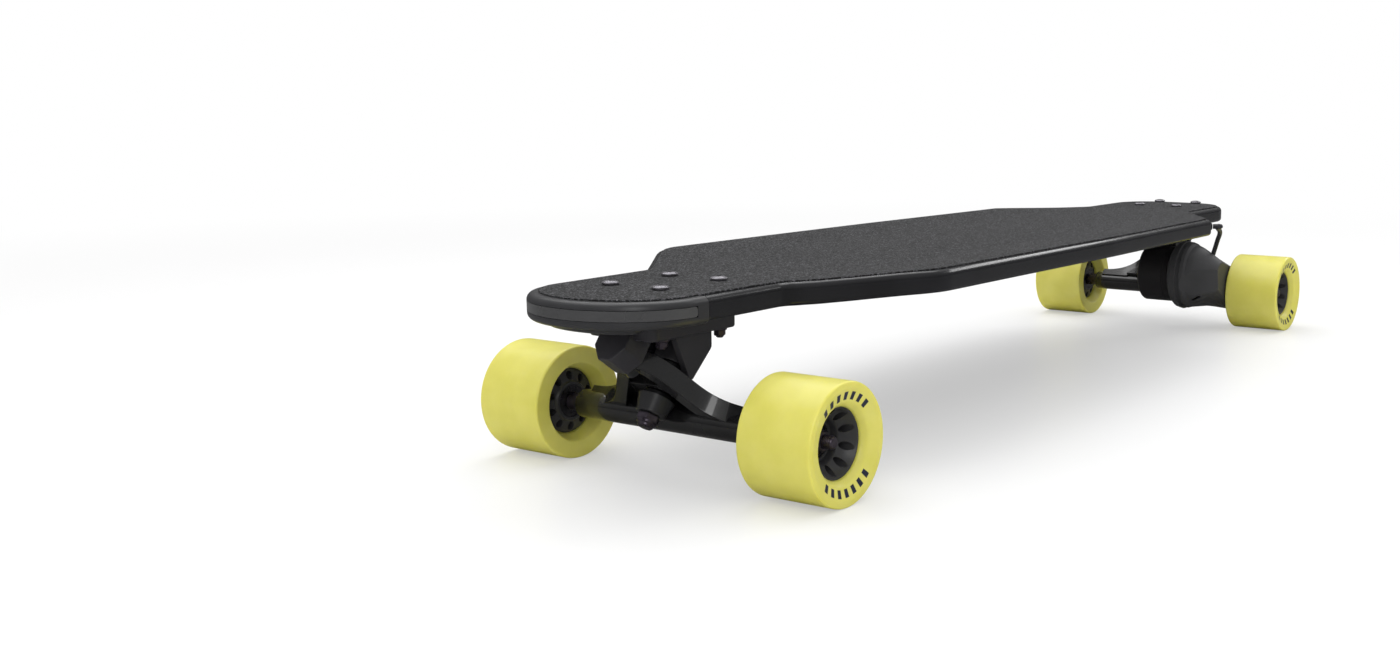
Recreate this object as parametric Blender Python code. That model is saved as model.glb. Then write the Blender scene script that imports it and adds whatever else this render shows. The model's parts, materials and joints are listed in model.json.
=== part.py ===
"""Electric longboard, in metres, +Z up, nose towards +X.

The origin lies on the ground under the middle of the board. Each truck is made in a frame of its
own: X runs outboard from its axle, and the steering frame inside it has its X on the steering axis
and its Z on the kingpin.
"""

import math

import bmesh
import bpy
from mathutils import Matrix, Vector

# Clearances
GAP = 0.0003
RUNNING_GAP = 0.0002
SWING_GAP = 0.0010

# Stance
WHEELBASE = 0.7876
WHEEL_RADIUS = 0.038
WHEEL_WIDTH = 0.0536
TRACK = 0.2192

# Deck
NOSE_OVERHANG = 0.094
TAIL_OVERHANG = 0.041
DECK_WIDTH = 0.246
END_WIDTH = 0.120
DECK_RISE = 0.0707
DECK_THICKNESS = 0.0150
RIM_RADIUS = 0.0045
RAIL_SLOPE_FRONT = 0.0603
RAIL_SLOPE_REAR = 0.0317
RAIL_START = 0.060
NOSE_DEPTH = 0.050
TAIL_CORNER = 0.045
FRONT_SHOULDER = 0.041
SHOULDER_LENGTH = 0.083
REAR_NOTCH = 0.074
REAR_SLANT_LENGTH = 0.098
GRIP_THICKNESS = 0.0007
GRIP_INSET = RIM_RADIUS

# Nose cap
CAP_LENGTH = 0.062
CAP_LIP = 0.0065
CAP_FLOOR = 0.0015
CAP_BULGE = 0.0045
LIGHT_HEIGHT = 0.0062
LIGHT_DEPTH = 0.0018
LIGHT_LENGTH = 0.052

# Battery bay
BAY_LENGTH = 0.380
BAY_WIDTH = 0.140
BAY_CEILING = 0.0035
COVER_FLANGE = 0.008
COVER_WALL = 0.0018
COVER_DEPTH = 0.0048
BUTTON_RADIUS = 0.0065
BUTTON_TRAVEL = 0.0010
PORT_RADIUS = 0.0070

# Trucks
BOLT_SPACING_X = 0.0540
BOLT_SPACING_Y = 0.0413
BOLT_OUTBOARD = 0.0036
BOLT_RADIUS = 0.0025
BOLT_HEAD_RADIUS = 0.0055
BOLT_HEAD_HEIGHT = 0.0026
NUT_HEIGHT = 0.0062
NUT_RADIUS = 0.0047
RISER_THICKNESS = 0.0041
PLATE_THICKNESS = 0.0095
PLATE_INBOARD = 0.0335
PLATE_OUTBOARD = 0.0455
PLATE_WIDTH = 0.0560
STEER_ANGLE = math.radians(36)
RING_OUTBOARD = 0.0100
RING_RISE = 0.0200
RING_THICKNESS = 0.0070
RING_BORE = 0.0066
FORK_REACH = 0.0330
APEX_REACH = 0.0360
WEB_START = 0.0125
CUP_CLEARANCE = 0.0018
ARM_DEPTH = 0.0130
ARM_WIDTH = 0.0105
ARM_SLOPE = 0.735
PIVOT_REACH = 0.0460
PIVOT_RADIUS = 0.0042
PIVOT_CUP_WALL = 0.0016
BLOCK_START = 0.0365
BLOCK_END = 0.0555
BLOCK_WIDTH = 0.0250
BLOCK_NOSE_WIDTH = 0.0100
CHEEK_CLEARANCE = 0.0022
CHEEK_THICKNESS = 0.0048
BLOCK_DROP = 0.0080
KINGPIN_RADIUS = 0.0040
KINGPIN_HEAD_RADIUS = 0.0078
KINGPIN_HEAD_LOW = 0.0458
KINGPIN_HEAD_HIGH = 0.0500
KINGPIN_NUT_RADIUS = 0.0075
KINGPIN_NUT_HEIGHT = 0.0070
WASHER_THICKNESS = 0.0030
BOARD_BUSHING = 0.0122
ROAD_BUSHING = 0.0112
BUSHING_RADIUS = 0.0122
TUBE_RADIUS = 0.0095
HANGER_WIDTH = 0.1550
AXLE_RADIUS = 0.0040
AXLE_LENGTH = 0.2540
AXLE_NUT_RADIUS = 0.0075
AXLE_NUT_HEIGHT = 0.0060
SPACER_RADIUS = 0.0060
WHEEL_OFFSET = 0.0082

# Wheels
CORE_RADIUS = 0.0217
LIP_RADIUS = 0.0335
BEARING_RADIUS = 0.0110
BEARING_WIDTH = 0.0070
BEARING_SPAN = 0.0243
CORE_HOLES = 10

# Drive
MOTOR_RADIUS = 0.0285
MOTOR_LENGTH = 0.0330
STATOR_BORE = 0.0185
MOUNT_THICKNESS = 0.0050
BRIDGE_MARGIN = 0.0040
BRIDGE_THICKNESS = 0.0125
CLAMP_WALL = 0.0045
CLAMP_LOW = 0.0525
CLAMP_HIGH = 0.0600
SLEEVE_RADIUS = 0.0132
PULLEY_SHAFT = 0.0040
FLANGE_RISE = 0.0022
MOTOR_FORWARD = 0.0450
MOTOR_RISE = 0.0184
BELT_PITCH = 0.0030
MOTOR_TEETH = 12
WHEEL_TEETH = 32
BELT_WIDTH = 0.0085
BELT_THICKNESS = 0.0013
BELT_Y = 0.0682
COVER_END = 0.0815
SHELL_WALL = 0.0016
CABLE_RADIUS = 0.0024
CABLE_RISE = 0.0278

# Places worked out from the sizes above
BLOCK_REACH = RING_OUTBOARD + BLOCK_END * math.cos(STEER_ANGLE) + BLOCK_DROP * math.sin(STEER_ANGLE)
FRONT_REACH = WHEELBASE / 2 + NOSE_OVERHANG
REAR_REACH = WHEELBASE / 2 + max(TAIL_OVERHANG, WHEEL_RADIUS, BLOCK_REACH)
FRONT_X = WHEELBASE / 2 - (FRONT_REACH - REAR_REACH) / 2
REAR_X = FRONT_X - WHEELBASE
NOSE_X = FRONT_X + NOSE_OVERHANG
TAIL_X = REAR_X - TAIL_OVERHANG
UNDERSIDE = WHEEL_RADIUS + DECK_RISE
TOP = UNDERSIDE + DECK_THICKNESS
RISER_LOW = UNDERSIDE - GAP - RISER_THICKNESS
PLATE_TOP = RISER_LOW - GAP
PLATE_LOW = PLATE_TOP - PLATE_THICKNESS
RING_Z = WHEEL_RADIUS + RING_RISE
AXLE_S = -RING_OUTBOARD * math.cos(STEER_ANGLE) - RING_RISE * math.sin(STEER_ANGLE)
AXLE_N = RING_OUTBOARD * math.sin(STEER_ANGLE) - RING_RISE * math.cos(STEER_ANGLE)
SEAT_N = RING_THICKNESS / 2 + BOARD_BUSHING + 2 * GAP
CAP_X = NOSE_X - CAP_LENGTH

ON_Y_LEFT = (-math.pi / 2, 0, 0)
ON_Y_RIGHT = (math.pi / 2, 0, 0)
FINE = 40
MEDIUM = 16
COARSE = 10


# ------------------------------------------------------------------ making and joining meshes


def clear_scene():
    for thing in list(bpy.data.objects):
        bpy.data.objects.remove(thing, do_unlink=True)


def material(name, hex_colour, roughness, metallic=0.0):
    made = bpy.data.materials.new(name)
    made.use_nodes = True
    shader = made.node_tree.nodes["Principled BSDF"]
    parts = [int(hex_colour[i : i + 2], 16) / 255 for i in (0, 2, 4)]
    linear = [c / 12.92 if c <= 0.04045 else ((c + 0.055) / 1.055) ** 2.4 for c in parts]
    shader.inputs["Base Color"].default_value = (*linear, 1)
    shader.inputs["Roughness"].default_value = roughness
    shader.inputs["Metallic"].default_value = metallic
    return made


def empty(name, at=(0, 0, 0), turn=(0, 0, 0), parent=None):
    made = bpy.data.objects.new(name, None)
    bpy.context.scene.collection.objects.link(made)
    made.location = at
    made.rotation_euler = turn
    made.parent = parent
    return made


def piece(name, shape, look, at=(0, 0, 0), turn=(0, 0, 0), parent=None):
    """One object from a bmesh that is drawn about the object's own origin."""
    bmesh.ops.remove_doubles(shape, verts=shape.verts, dist=1e-6)
    bmesh.ops.recalc_face_normals(shape, faces=shape.faces)
    mesh = bpy.data.meshes.new(name)
    shape.to_mesh(mesh)
    shape.free()
    mesh.shade_smooth()
    mesh.set_sharp_from_angle(angle=math.radians(30))
    made = bpy.data.objects.new(name, mesh)
    bpy.context.scene.collection.objects.link(made)
    made.location = at
    made.rotation_euler = turn
    made.parent = parent
    if look:
        mesh.materials.append(look)
    else:
        made.hide_render = True
        made.display_type = "WIRE"
    return made


def tool(name, shape, at=(0, 0, 0), turn=(0, 0, 0), parent=None):
    """A hidden solid that only cuts or extends another piece."""
    return piece(name, shape, None, at, turn, parent)


def combine(target, other, operation):
    modifier = target.modifiers.new(operation.lower(), "BOOLEAN")
    modifier.operation = operation
    modifier.object = other
    modifier.solver = "EXACT"


def cut(target, *tools):
    for other in tools:
        combine(target, other, "DIFFERENCE")


def join(target, *tools):
    for other in tools:
        combine(target, other, "UNION")


def turned(profile, segments, closed=False):
    """Spins (radius, height) points about Z. A closed profile makes a ring."""
    shape = bmesh.new()
    points = [shape.verts.new((radius, 0, height)) for radius, height in profile]
    ends = list(zip(points, points[1:]))
    if closed:
        ends.append((points[-1], points[0]))
    lines = [shape.edges.new(pair) for pair in ends]
    bmesh.ops.spin(
        shape,
        geom=points + lines,
        cent=(0, 0, 0),
        axis=(0, 0, 1),
        angle=2 * math.pi,
        steps=segments,
    )
    return shape


def rod(radius, low, high, segments=MEDIUM):
    return turned([(0, low), (radius, low), (radius, high), (0, high)], segments)


def sleeve(inner, outer, low, high, segments=MEDIUM):
    return turned([(inner, low), (outer, low), (outer, high), (inner, high)], segments, True)


def flat(a, b, height):
    return (a, b, height)


def upright(a, b, height):
    return (a, height, b)


def across(a, b, height):
    return (height, a, b)


def prism(outline, low, high, place=flat):
    """Extrudes an outline. place turns its two directions and the extrusion into X, Y and Z."""
    shape = bmesh.new()
    corners = [shape.verts.new(place(a, b, low)) for a, b in outline]
    face = shape.faces.new(corners)
    grown = bmesh.ops.extrude_face_region(shape, geom=[face])["geom"]
    moved = [item for item in grown if isinstance(item, bmesh.types.BMVert)]
    step = Vector(place(0, 0, high)) - Vector(place(0, 0, low))
    bmesh.ops.translate(shape, verts=moved, vec=step)
    return shape


def block(x0, x1, y0, y1, z0, z1):
    return prism([(x0, y0), (x1, y0), (x1, y1), (x0, y1)], z0, z1)


def rounded(corners, step=math.radians(20)):
    """A path through (x, y, radius) corners, each but the first and last turned into an arc."""
    path = [corners[0][:2]]
    for before, here, after in zip(corners, corners[1:], corners[2:]):
        centre, radius = Vector(here[:2]), here[2]
        back = (Vector(before[:2]) - centre).normalized()
        ahead = (Vector(after[:2]) - centre).normalized()
        half = back.angle(ahead) / 2
        hub = centre + (back + ahead).normalized() * radius / math.sin(half)
        start = centre + back * radius / math.tan(half) - hub
        sweep = math.copysign(math.pi - 2 * half, back.cross(ahead) * -1)
        count = max(1, round(abs(sweep) / step))
        for i in range(count + 1):
            spoke = start.copy()
            spoke.rotate(Matrix.Rotation(sweep * i / count, 2))
            path.append(tuple(hub + spoke))
    path.append(corners[-1][:2])
    return path


def rounded_rectangle(x0, x1, y0, y1, radius):
    middle = (x0 + x1) / 2
    corners = [(middle, y0, 0), (x1, y0, radius), (x1, y1, radius), (x0, y1, radius)]
    corners += [(x0, y0, radius), (middle, y0, 0)]
    return rounded(corners, math.radians(30))[:-1]


def loft(loops):
    """Joins loops of equal length into one closed skin."""
    shape = bmesh.new()
    rings = [[shape.verts.new(point) for point in loop] for loop in loops]
    for a, b in zip(rings, rings[1:]):
        for i in range(len(a)):
            j = (i + 1) % len(a)
            shape.faces.new((a[i], a[j], b[j], b[i]))
    shape.faces.new(rings[0])
    shape.faces.new(rings[-1])
    return shape


# ------------------------------------------------------------------ deck, grip, cap and bay


def smooth(low, high, value):
    share = min(max((value - low) / (high - low), 0), 1)
    return share * share * (3 - 2 * share)


def rail_rise(x, y):
    """How far the deck's raised rails stand above its flat middle."""
    share = smooth(REAR_X, FRONT_X, x)
    slope = RAIL_SLOPE_REAR + (RAIL_SLOPE_FRONT - RAIL_SLOPE_REAR) * share
    rail_width = DECK_WIDTH / 2 - RAIL_START
    return slope * rail_width * smooth(RAIL_START, DECK_WIDTH / 2, abs(y))


def low_side(x, y):
    return UNDERSIDE + rail_rise(x, y)


def top_side(x, y):
    return TOP + rail_rise(x, y)


def nose_arc(steps=8):
    middle = NOSE_X - NOSE_DEPTH
    turns = [math.pi / 2 * i / steps for i in range(steps + 1)]
    return [(middle + NOSE_DEPTH * math.sin(t), END_WIDTH / 2 * math.cos(t)) for t in turns]


def divided(path, most_sideways=0.013):
    """The path with its slanting stretches split, so that the rails stay smooth there."""
    points = path[:1]
    for before, after in zip(path, path[1:]):
        count = max(1, math.ceil(abs(after[1] - before[1]) / most_sideways))
        if after[0] - before[0] < 0.004:
            count = 1
        for i in range(1, count + 1):
            share = i / count
            points.append(tuple(Vector(before).lerp(Vector(after), share)))
    return points


def deck_path():
    """The left half of the deck's outline, from the middle of the tail to the tip of the nose."""
    wide, narrow = DECK_WIDTH / 2, END_WIDTH / 2
    notch = REAR_X + REAR_NOTCH
    shoulder = FRONT_X - FRONT_SHOULDER
    corners = [
        (TAIL_X, 0, 0),
        (TAIL_X, narrow, TAIL_CORNER),
        (notch, narrow, 0.010),
        (notch + REAR_SLANT_LENGTH, wide * 0.955, 0.010),
        (REAR_X + WHEELBASE / 2, wide, 0.600),
        (shoulder - SHOULDER_LENGTH, wide, 0.050),
        (shoulder, narrow, 0.014),
        (NOSE_X - NOSE_DEPTH, narrow, 0),
    ]
    path = rounded(corners)[:-1] + nose_arc()
    path[-1] = (NOSE_X, 0)
    return divided(path)


def outward(path):
    """The outward normal at each point of a left half outline."""
    first = (path[1][0], -path[1][1]) if abs(path[0][1]) < 1e-9 else path[0]
    last = (path[-2][0], -path[-2][1])
    whole = [first, *path, last]
    normals = []
    for before, after in zip(whole, whole[2:]):
        run = (Vector(after) - Vector(before)).normalized()
        normals.append(Vector((-run.y, run.x)))
    return normals


def inset(path, distance):
    """The path moved inwards, by a distance or by a function of X."""
    moved = []
    for (x, y), side in zip(path, outward(path)):
        depth = distance(x) if callable(distance) else distance
        moved.append((x - side.x * depth, max(y - side.y * depth, 0)))
    return moved


def forward_of(path, x):
    """The stretch of a path ahead of x, starting exactly there."""
    for before, after in zip(path, path[1:]):
        if before[0] <= x < after[0]:
            share = (x - before[0]) / (after[0] - before[0])
            start = (x, before[1] + (after[1] - before[1]) * share)
    return [start] + [point for point in path if point[0] > x + 1e-4]


def mirrored(shape):
    bmesh.ops.mirror(shape, geom=shape.verts[:] + shape.edges[:] + shape.faces[:], axis="Y")
    return shape


def slab(path, lower_rim, upper_rim, low, high, shares=(0, 0.52, 0.68, 0.84)):
    """A board over the whole outline. Each rim is (inset, distance from the surface) points."""
    shape = bmesh.new()
    rows = []
    for (x, y), side in zip(path, outward(path)):
        row = []
        for rim, surface, sign in ((lower_rim, low, 1), (upper_rim, high, -1)):
            points = []
            for depth, away in rim:
                px, py = x - side.x * depth, max(y - side.y * depth, 0)
                points.append((px, py, surface(px, py) + sign * away))
            ex, ey = points[0][:2] if sign == 1 else points[-1][:2]
            inner = [(ex, ey * share, surface(ex, ey * share)) for share in shares]
            row += inner + points if sign == 1 else points + inner[::-1]
        rows.append([shape.verts.new(point) for point in row])
    for a, b in zip(rows, rows[1:]):
        for i in range(len(a) - 1):
            shape.faces.new((a[i], b[i], b[i + 1], a[i + 1]))
    if path[0][1] > 1e-9:
        shape.faces.new(rows[0])
    return mirrored(shape)


def band(path, profile):
    """A strip along the edge, with a closed profile of (inset, height) points."""
    shape = bmesh.new()
    rows = []
    for (x, y), side in zip(path, outward(path)):
        row = [(x - side.x * d, y - side.y * d, height) for d, height in profile]
        rows.append([shape.verts.new(point) for point in row])
    for a, b in zip(rows, rows[1:]):
        for i in range(len(profile)):
            j = (i + 1) % len(profile)
            shape.faces.new((a[i], a[j], b[j], b[i]))
    shape.faces.new(rows[0])
    return mirrored(shape)


def rim(radius, steps=2):
    turns = [math.pi / 2 * i / steps for i in range(steps + 1)]
    return [(radius * (1 - math.sin(t)), radius * (1 - math.cos(t))) for t in turns]


def bolt_places():
    for x, way in ((FRONT_X, 1), (REAR_X, -1)):
        for dx in (-BOLT_SPACING_X / 2, BOLT_SPACING_X / 2):
            for y in (-BOLT_SPACING_Y / 2, BOLT_SPACING_Y / 2):
                yield x + way * (BOLT_OUTBOARD + dx), y


def deck_group(looks):
    path = deck_path()
    lower = rim(RIM_RADIUS * 0.7)
    upper = rim(RIM_RADIUS)[::-1]
    deck = piece("deck", slab(path, lower, upper, low_side, top_side), looks["shell"])
    ahead = forward_of(path, CAP_X - GAP)
    rabbet = [(-0.01, 0), (CAP_LIP + GAP, 0), (CAP_LIP + GAP, 1), (-0.01, 1)]
    cut(deck, tool("cap_rabbet", band(ahead, rabbet)))
    bay_low = (FRONT_X + REAR_X) / 2 - BAY_LENGTH / 2
    bay_high = bay_low + BAY_LENGTH
    half = BAY_WIDTH / 2
    bay = rounded_rectangle(bay_low, bay_high, -half, half, 0.012)
    cut(deck, tool("bay_cutter", prism(bay, UNDERSIDE - 0.01, TOP - BAY_CEILING)))

    def grip_inset(x):
        return GRIP_INSET + (CAP_LIP + 2 * GAP - GRIP_INSET) * smooth(CAP_X - 0.03, CAP_X, x)

    def grip_low(x, y):
        return top_side(x, y) + GAP

    def grip_high(x, y):
        return grip_low(x, y) + GRIP_THICKNESS

    grip_path = inset(path, grip_inset)
    grip = slab(grip_path, [(0, 0)], [(0, 0)], grip_low, grip_high)
    grip = piece("grip_tape", grip, looks["grip"])
    for index, (x, y) in enumerate(bolt_places()):
        hole = tool(f"deck_hole_{index}", rod(BOLT_RADIUS + GAP, 0.08, 0.14, COARSE), (x, y, 0))
        cut(deck, hole)
        cut(grip, hole)
    nose_cap(path, looks)
    battery_bay(bay_low, bay_high, looks)
    return deck


def nose_cap(path, looks):
    ahead = forward_of(path, CAP_X)
    low, high, radius = UNDERSIDE - CAP_FLOOR, TOP, RIM_RADIUS
    profile = [(CAP_LIP, low), (radius, low), (radius * 0.3, low + radius * 0.3)]
    profile += [(0, low + radius), (0, high - radius), (radius * 0.3, high - radius * 0.3)]
    profile += [(radius, high), (CAP_LIP, high)]
    cap = piece("nose_cap", band(ahead, profile), looks["cap"])
    plate_end = FRONT_X + PLATE_OUTBOARD + 3 * GAP
    inner = inset(forward_of(path, plate_end), radius)
    inner[0] = (plate_end, inner[0][1])
    level = low + GAP
    floor = slab(
        inner,
        [(0, 0)],
        [(0, 0)],
        lambda x, y: level,
        lambda x, y: UNDERSIDE - GAP,
        (0,),
    )
    dome = [(0, -CAP_BULGE), (0.55, -0.86 * CAP_BULGE), (0.85, -0.5 * CAP_BULGE), (1, 0), (0.9, GAP)]
    reach = NOSE_X - plate_end - CAP_LIP - 0.006
    bulge = turned([(share * reach, z) for share, z in dome] + [(0, GAP)], MEDIUM)
    bmesh.ops.scale(bulge, verts=bulge.verts, vec=(1, 0.042 / reach, 1))
    half = bmesh.ops.bisect_plane(
        bulge,
        geom=bulge.verts[:] + bulge.edges[:] + bulge.faces[:],
        plane_co=(0, 0, 0),
        plane_no=(-1, 0, 0),
        clear_outer=True,
    )
    rim_edges = [e for e in half["geom_cut"] if isinstance(e, bmesh.types.BMEdge)]
    bmesh.ops.holes_fill(bulge, edges=rim_edges)
    join(cap, tool("cap_floor", floor), tool("cap_bulge", bulge, (plate_end + GAP, 0, level + GAP)))

    light_middle = (low + high) / 2 + 0.0005
    light_path = forward_of(path, NOSE_X - LIGHT_LENGTH)
    groove_low = light_middle - LIGHT_HEIGHT / 2 - GAP
    groove_high = light_middle + LIGHT_HEIGHT / 2 + GAP
    back = LIGHT_DEPTH + GAP
    groove = [(-0.01, groove_low), (back, groove_low), (back, groove_high), (-0.01, groove_high)]
    cut(cap, tool("light_groove", band(light_path, groove)))
    strip_path = forward_of(path, NOSE_X - LIGHT_LENGTH + GAP)
    low_edge, high_edge = groove_low + GAP, groove_high - GAP
    strip = [(0, low_edge), (LIGHT_DEPTH, low_edge), (LIGHT_DEPTH, high_edge), (0, high_edge)]
    piece("light_band", band(strip_path, strip), looks["band"])


def battery_bay(low_x, high_x, looks):
    """The hollow under the deck: its cover, the pack, the controller, the button and the port."""
    ceiling = TOP - BAY_CEILING - 0.001
    base = UNDERSIDE - COVER_DEPTH
    middle = (low_x + high_x) / 2
    width = BAY_WIDTH / 2 + COVER_FLANGE
    outer_low, outer_high = low_x - COVER_FLANGE, high_x + COVER_FLANGE

    def outline(shrink, z):
        points = rounded_rectangle(
            outer_low + shrink, outer_high - shrink, -width + shrink, width - shrink, 0.016
        )
        return [(x, y, z) for x, y in points]

    top = UNDERSIDE - GAP
    skin = loft([outline(0, top), outline(0, top - 0.0012), outline(0.012, base)])
    cover = piece("bottom_cover", skin, looks["shell"])
    tray = loft(
        [
            outline(COVER_FLANGE + 0.003, top + 0.01),
            outline(COVER_FLANGE + 0.003, top - 0.0006),
            outline(0.015, base + COVER_WALL),
        ]
    )
    button_x = middle + 0.062
    port_x = middle + 0.080
    button_hole = rod(BUTTON_RADIUS + GAP, base - 0.01, top)
    port_hole = rod(PORT_RADIUS + GAP, base - 0.01, top)
    cut(
        cover,
        tool("cover_pocket", tray),
        tool("button_hole", button_hole, (button_x, 0.018, 0)),
        tool("port_hole", port_hole, (port_x, -0.020, 0)),
    )

    inside = base + COVER_WALL + GAP
    cells = []
    pack_low, pack_high = low_x + 0.014, middle + 0.045
    pitch = (pack_high - pack_low) / 5
    for i in range(5):
        start = pack_low + i * pitch
        cells += [(start + 0.0006, ceiling), (start + pitch - 0.0006, ceiling)]
        if i < 4:
            notch = start + pitch
            cells += [(notch - 0.0006, ceiling - 0.001), (notch + 0.0006, ceiling - 0.001)]
    battery = [(pack_low, inside), *cells, (pack_high, inside)]
    piece("battery_pack", prism(battery, -0.058, 0.058, upright), looks["battery"])

    board_low, board_high = middle + 0.100, high_x - 0.014
    fins = [(board_low, inside)]
    pitch = (board_high - board_low) / 8
    for i in range(8):
        start = board_low + i * pitch
        fins += [(start, ceiling - 0.004), (start, ceiling)]
        fins += [(start + pitch * 0.45, ceiling), (start + pitch * 0.45, ceiling - 0.004)]
    fins += [(board_high, ceiling - 0.004), (board_high, inside)]
    piece("controller", prism(fins, -0.050, 0.050, upright), looks["alloy"])

    flange = inside + 0.0012
    face = base - BUTTON_TRAVEL
    button = [(0, face), (BUTTON_RADIUS, face), (BUTTON_RADIUS, inside)]
    button += [(BUTTON_RADIUS + 0.0015, inside), (BUTTON_RADIUS + 0.0015, flange), (0, flange)]
    piece("power_button", turned(button, MEDIUM), looks["button"], (button_x, 0.018, 0))

    port = [(0, base - 0.0012), (PORT_RADIUS + 0.0015, base - 0.0012)]
    port += [(PORT_RADIUS + 0.0015, base - GAP), (PORT_RADIUS, base - GAP)]
    port += [(PORT_RADIUS, inside + 0.005), (0, inside + 0.005)]
    piece("charge_port", turned(port, MEDIUM), looks["rubber"], (port_x, -0.020, 0))


def deck_bolts(looks):
    """Each bolt with its nut, as they stay together once tightened."""
    under_head = TOP + 2 * GAP + GRIP_THICKNESS
    crown = under_head + BOLT_HEAD_HEIGHT
    nut_top = PLATE_LOW - GAP
    profile = [(0, crown), (BOLT_HEAD_RADIUS * 0.6, crown - 0.0006)]
    profile += [(BOLT_HEAD_RADIUS, under_head + 0.0006), (BOLT_HEAD_RADIUS, under_head)]
    profile += [(BOLT_RADIUS, under_head), (BOLT_RADIUS, nut_top), (NUT_RADIUS, nut_top)]
    profile += [(NUT_RADIUS, nut_top - NUT_HEIGHT), (0, nut_top - NUT_HEIGHT)]
    names = [f"deck_bolt_{end}_{n}" for end in ("front", "rear") for n in (1, 2, 3, 4)]
    for name, (x, y) in zip(names, bolt_places()):
        piece(name, turned(profile, COARSE), looks["bolt"], (x, y, 0))


# ------------------------------------------------------------------ trucks


def truck(end, x, turn, looks):
    """Riser, baseplate, kingpin stack and hanger, mirrored front to back by the turn."""
    base = empty(f"{end}_truck", (x, 0, 0), (0, 0, turn))
    steer = empty(f"{end}_steering", (RING_OUTBOARD, 0, RING_Z), (0, -STEER_ANGLE, 0), base)
    half = PLATE_WIDTH / 2
    outline = rounded_rectangle(-PLATE_INBOARD, PLATE_OUTBOARD, -half, half, 0.006)
    riser = prism(outline, RISER_LOW, UNDERSIDE - GAP)
    riser = piece(f"riser_{end}", riser, looks["rubber"], parent=base)
    plate = prism(outline, PLATE_LOW, PLATE_TOP)
    plate = piece(f"baseplate_{end}", plate, looks["cast"], parent=base)
    baseplate(end, plate, base, steer)
    for index, dx in enumerate((-BOLT_SPACING_X / 2, BOLT_SPACING_X / 2)):
        for side in (-1, 1):
            at = (BOLT_OUTBOARD + dx, side * BOLT_SPACING_Y / 2, 0)
            bore = rod(BOLT_RADIUS + GAP, PLATE_LOW - 0.02, TOP, COARSE)
            bore = tool(f"{end}_bolt_bore_{index}_{side}", bore, at, parent=base)
            cut(riser, bore)
            cut(plate, bore)
    kingpin_stack(end, steer, looks)
    hanger(end, steer, looks)
    return base, steer


def baseplate(end, plate, base, steer):
    """Adds the pivot block, the two cheeks and the bushing seat, and drills them."""
    half, flat_half = BLOCK_WIDTH / 2, BLOCK_NOSE_WIDTH / 2
    shape = [(-half, 0.020), (-half, 0.001), (-flat_half, -BLOCK_DROP)]
    shape += [(flat_half, -BLOCK_DROP), (half, 0.001), (half, 0.020)]
    pivot_block = prism(shape, BLOCK_START, BLOCK_END, across)
    inner = BUSHING_RADIUS + CHEEK_CLEARANCE
    outer = inner + CHEEK_THICKNESS
    cheek = [(-0.0175, PLATE_LOW + 0.001), (-0.0175, RING_Z + 0.0245)]
    cheek += [(0.0020, RING_Z + 0.0066), (0.0048, RING_Z + 0.0075), (0.0180, PLATE_LOW + 0.001)]
    boss = rod(BUSHING_RADIUS, SEAT_N, 0.050, MEDIUM)
    join(
        plate,
        tool(f"{end}_pivot_block", pivot_block, parent=steer),
        tool(f"{end}_cheek_left", prism(cheek, inner, outer, upright), parent=base),
        tool(f"{end}_cheek_right", prism(cheek, -outer, -inner, upright), parent=base),
        tool(f"{end}_boss", boss, parent=steer),
    )
    trim = block(-0.1, 0.1, -0.1, 0.1, PLATE_TOP, PLATE_TOP + 0.05)
    cup = PIVOT_RADIUS + PIVOT_CUP_WALL + 2 * GAP
    cup_bore = rod(cup, BLOCK_START - 0.01, PIVOT_REACH + 0.0030)
    recess = rod(KINGPIN_HEAD_RADIUS + 2 * GAP, KINGPIN_HEAD_LOW - GAP, 0.09)
    cut(
        plate,
        tool(f"{end}_trim", trim, parent=base),
        tool(f"{end}_kingpin_bore", rod(KINGPIN_RADIUS + GAP, 0, 0.09), parent=steer),
        tool(f"{end}_head_recess", recess, parent=steer),
        tool(f"{end}_cup_bore", cup_bore, turn=(0, math.pi / 2, 0), parent=steer),
    )


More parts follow.
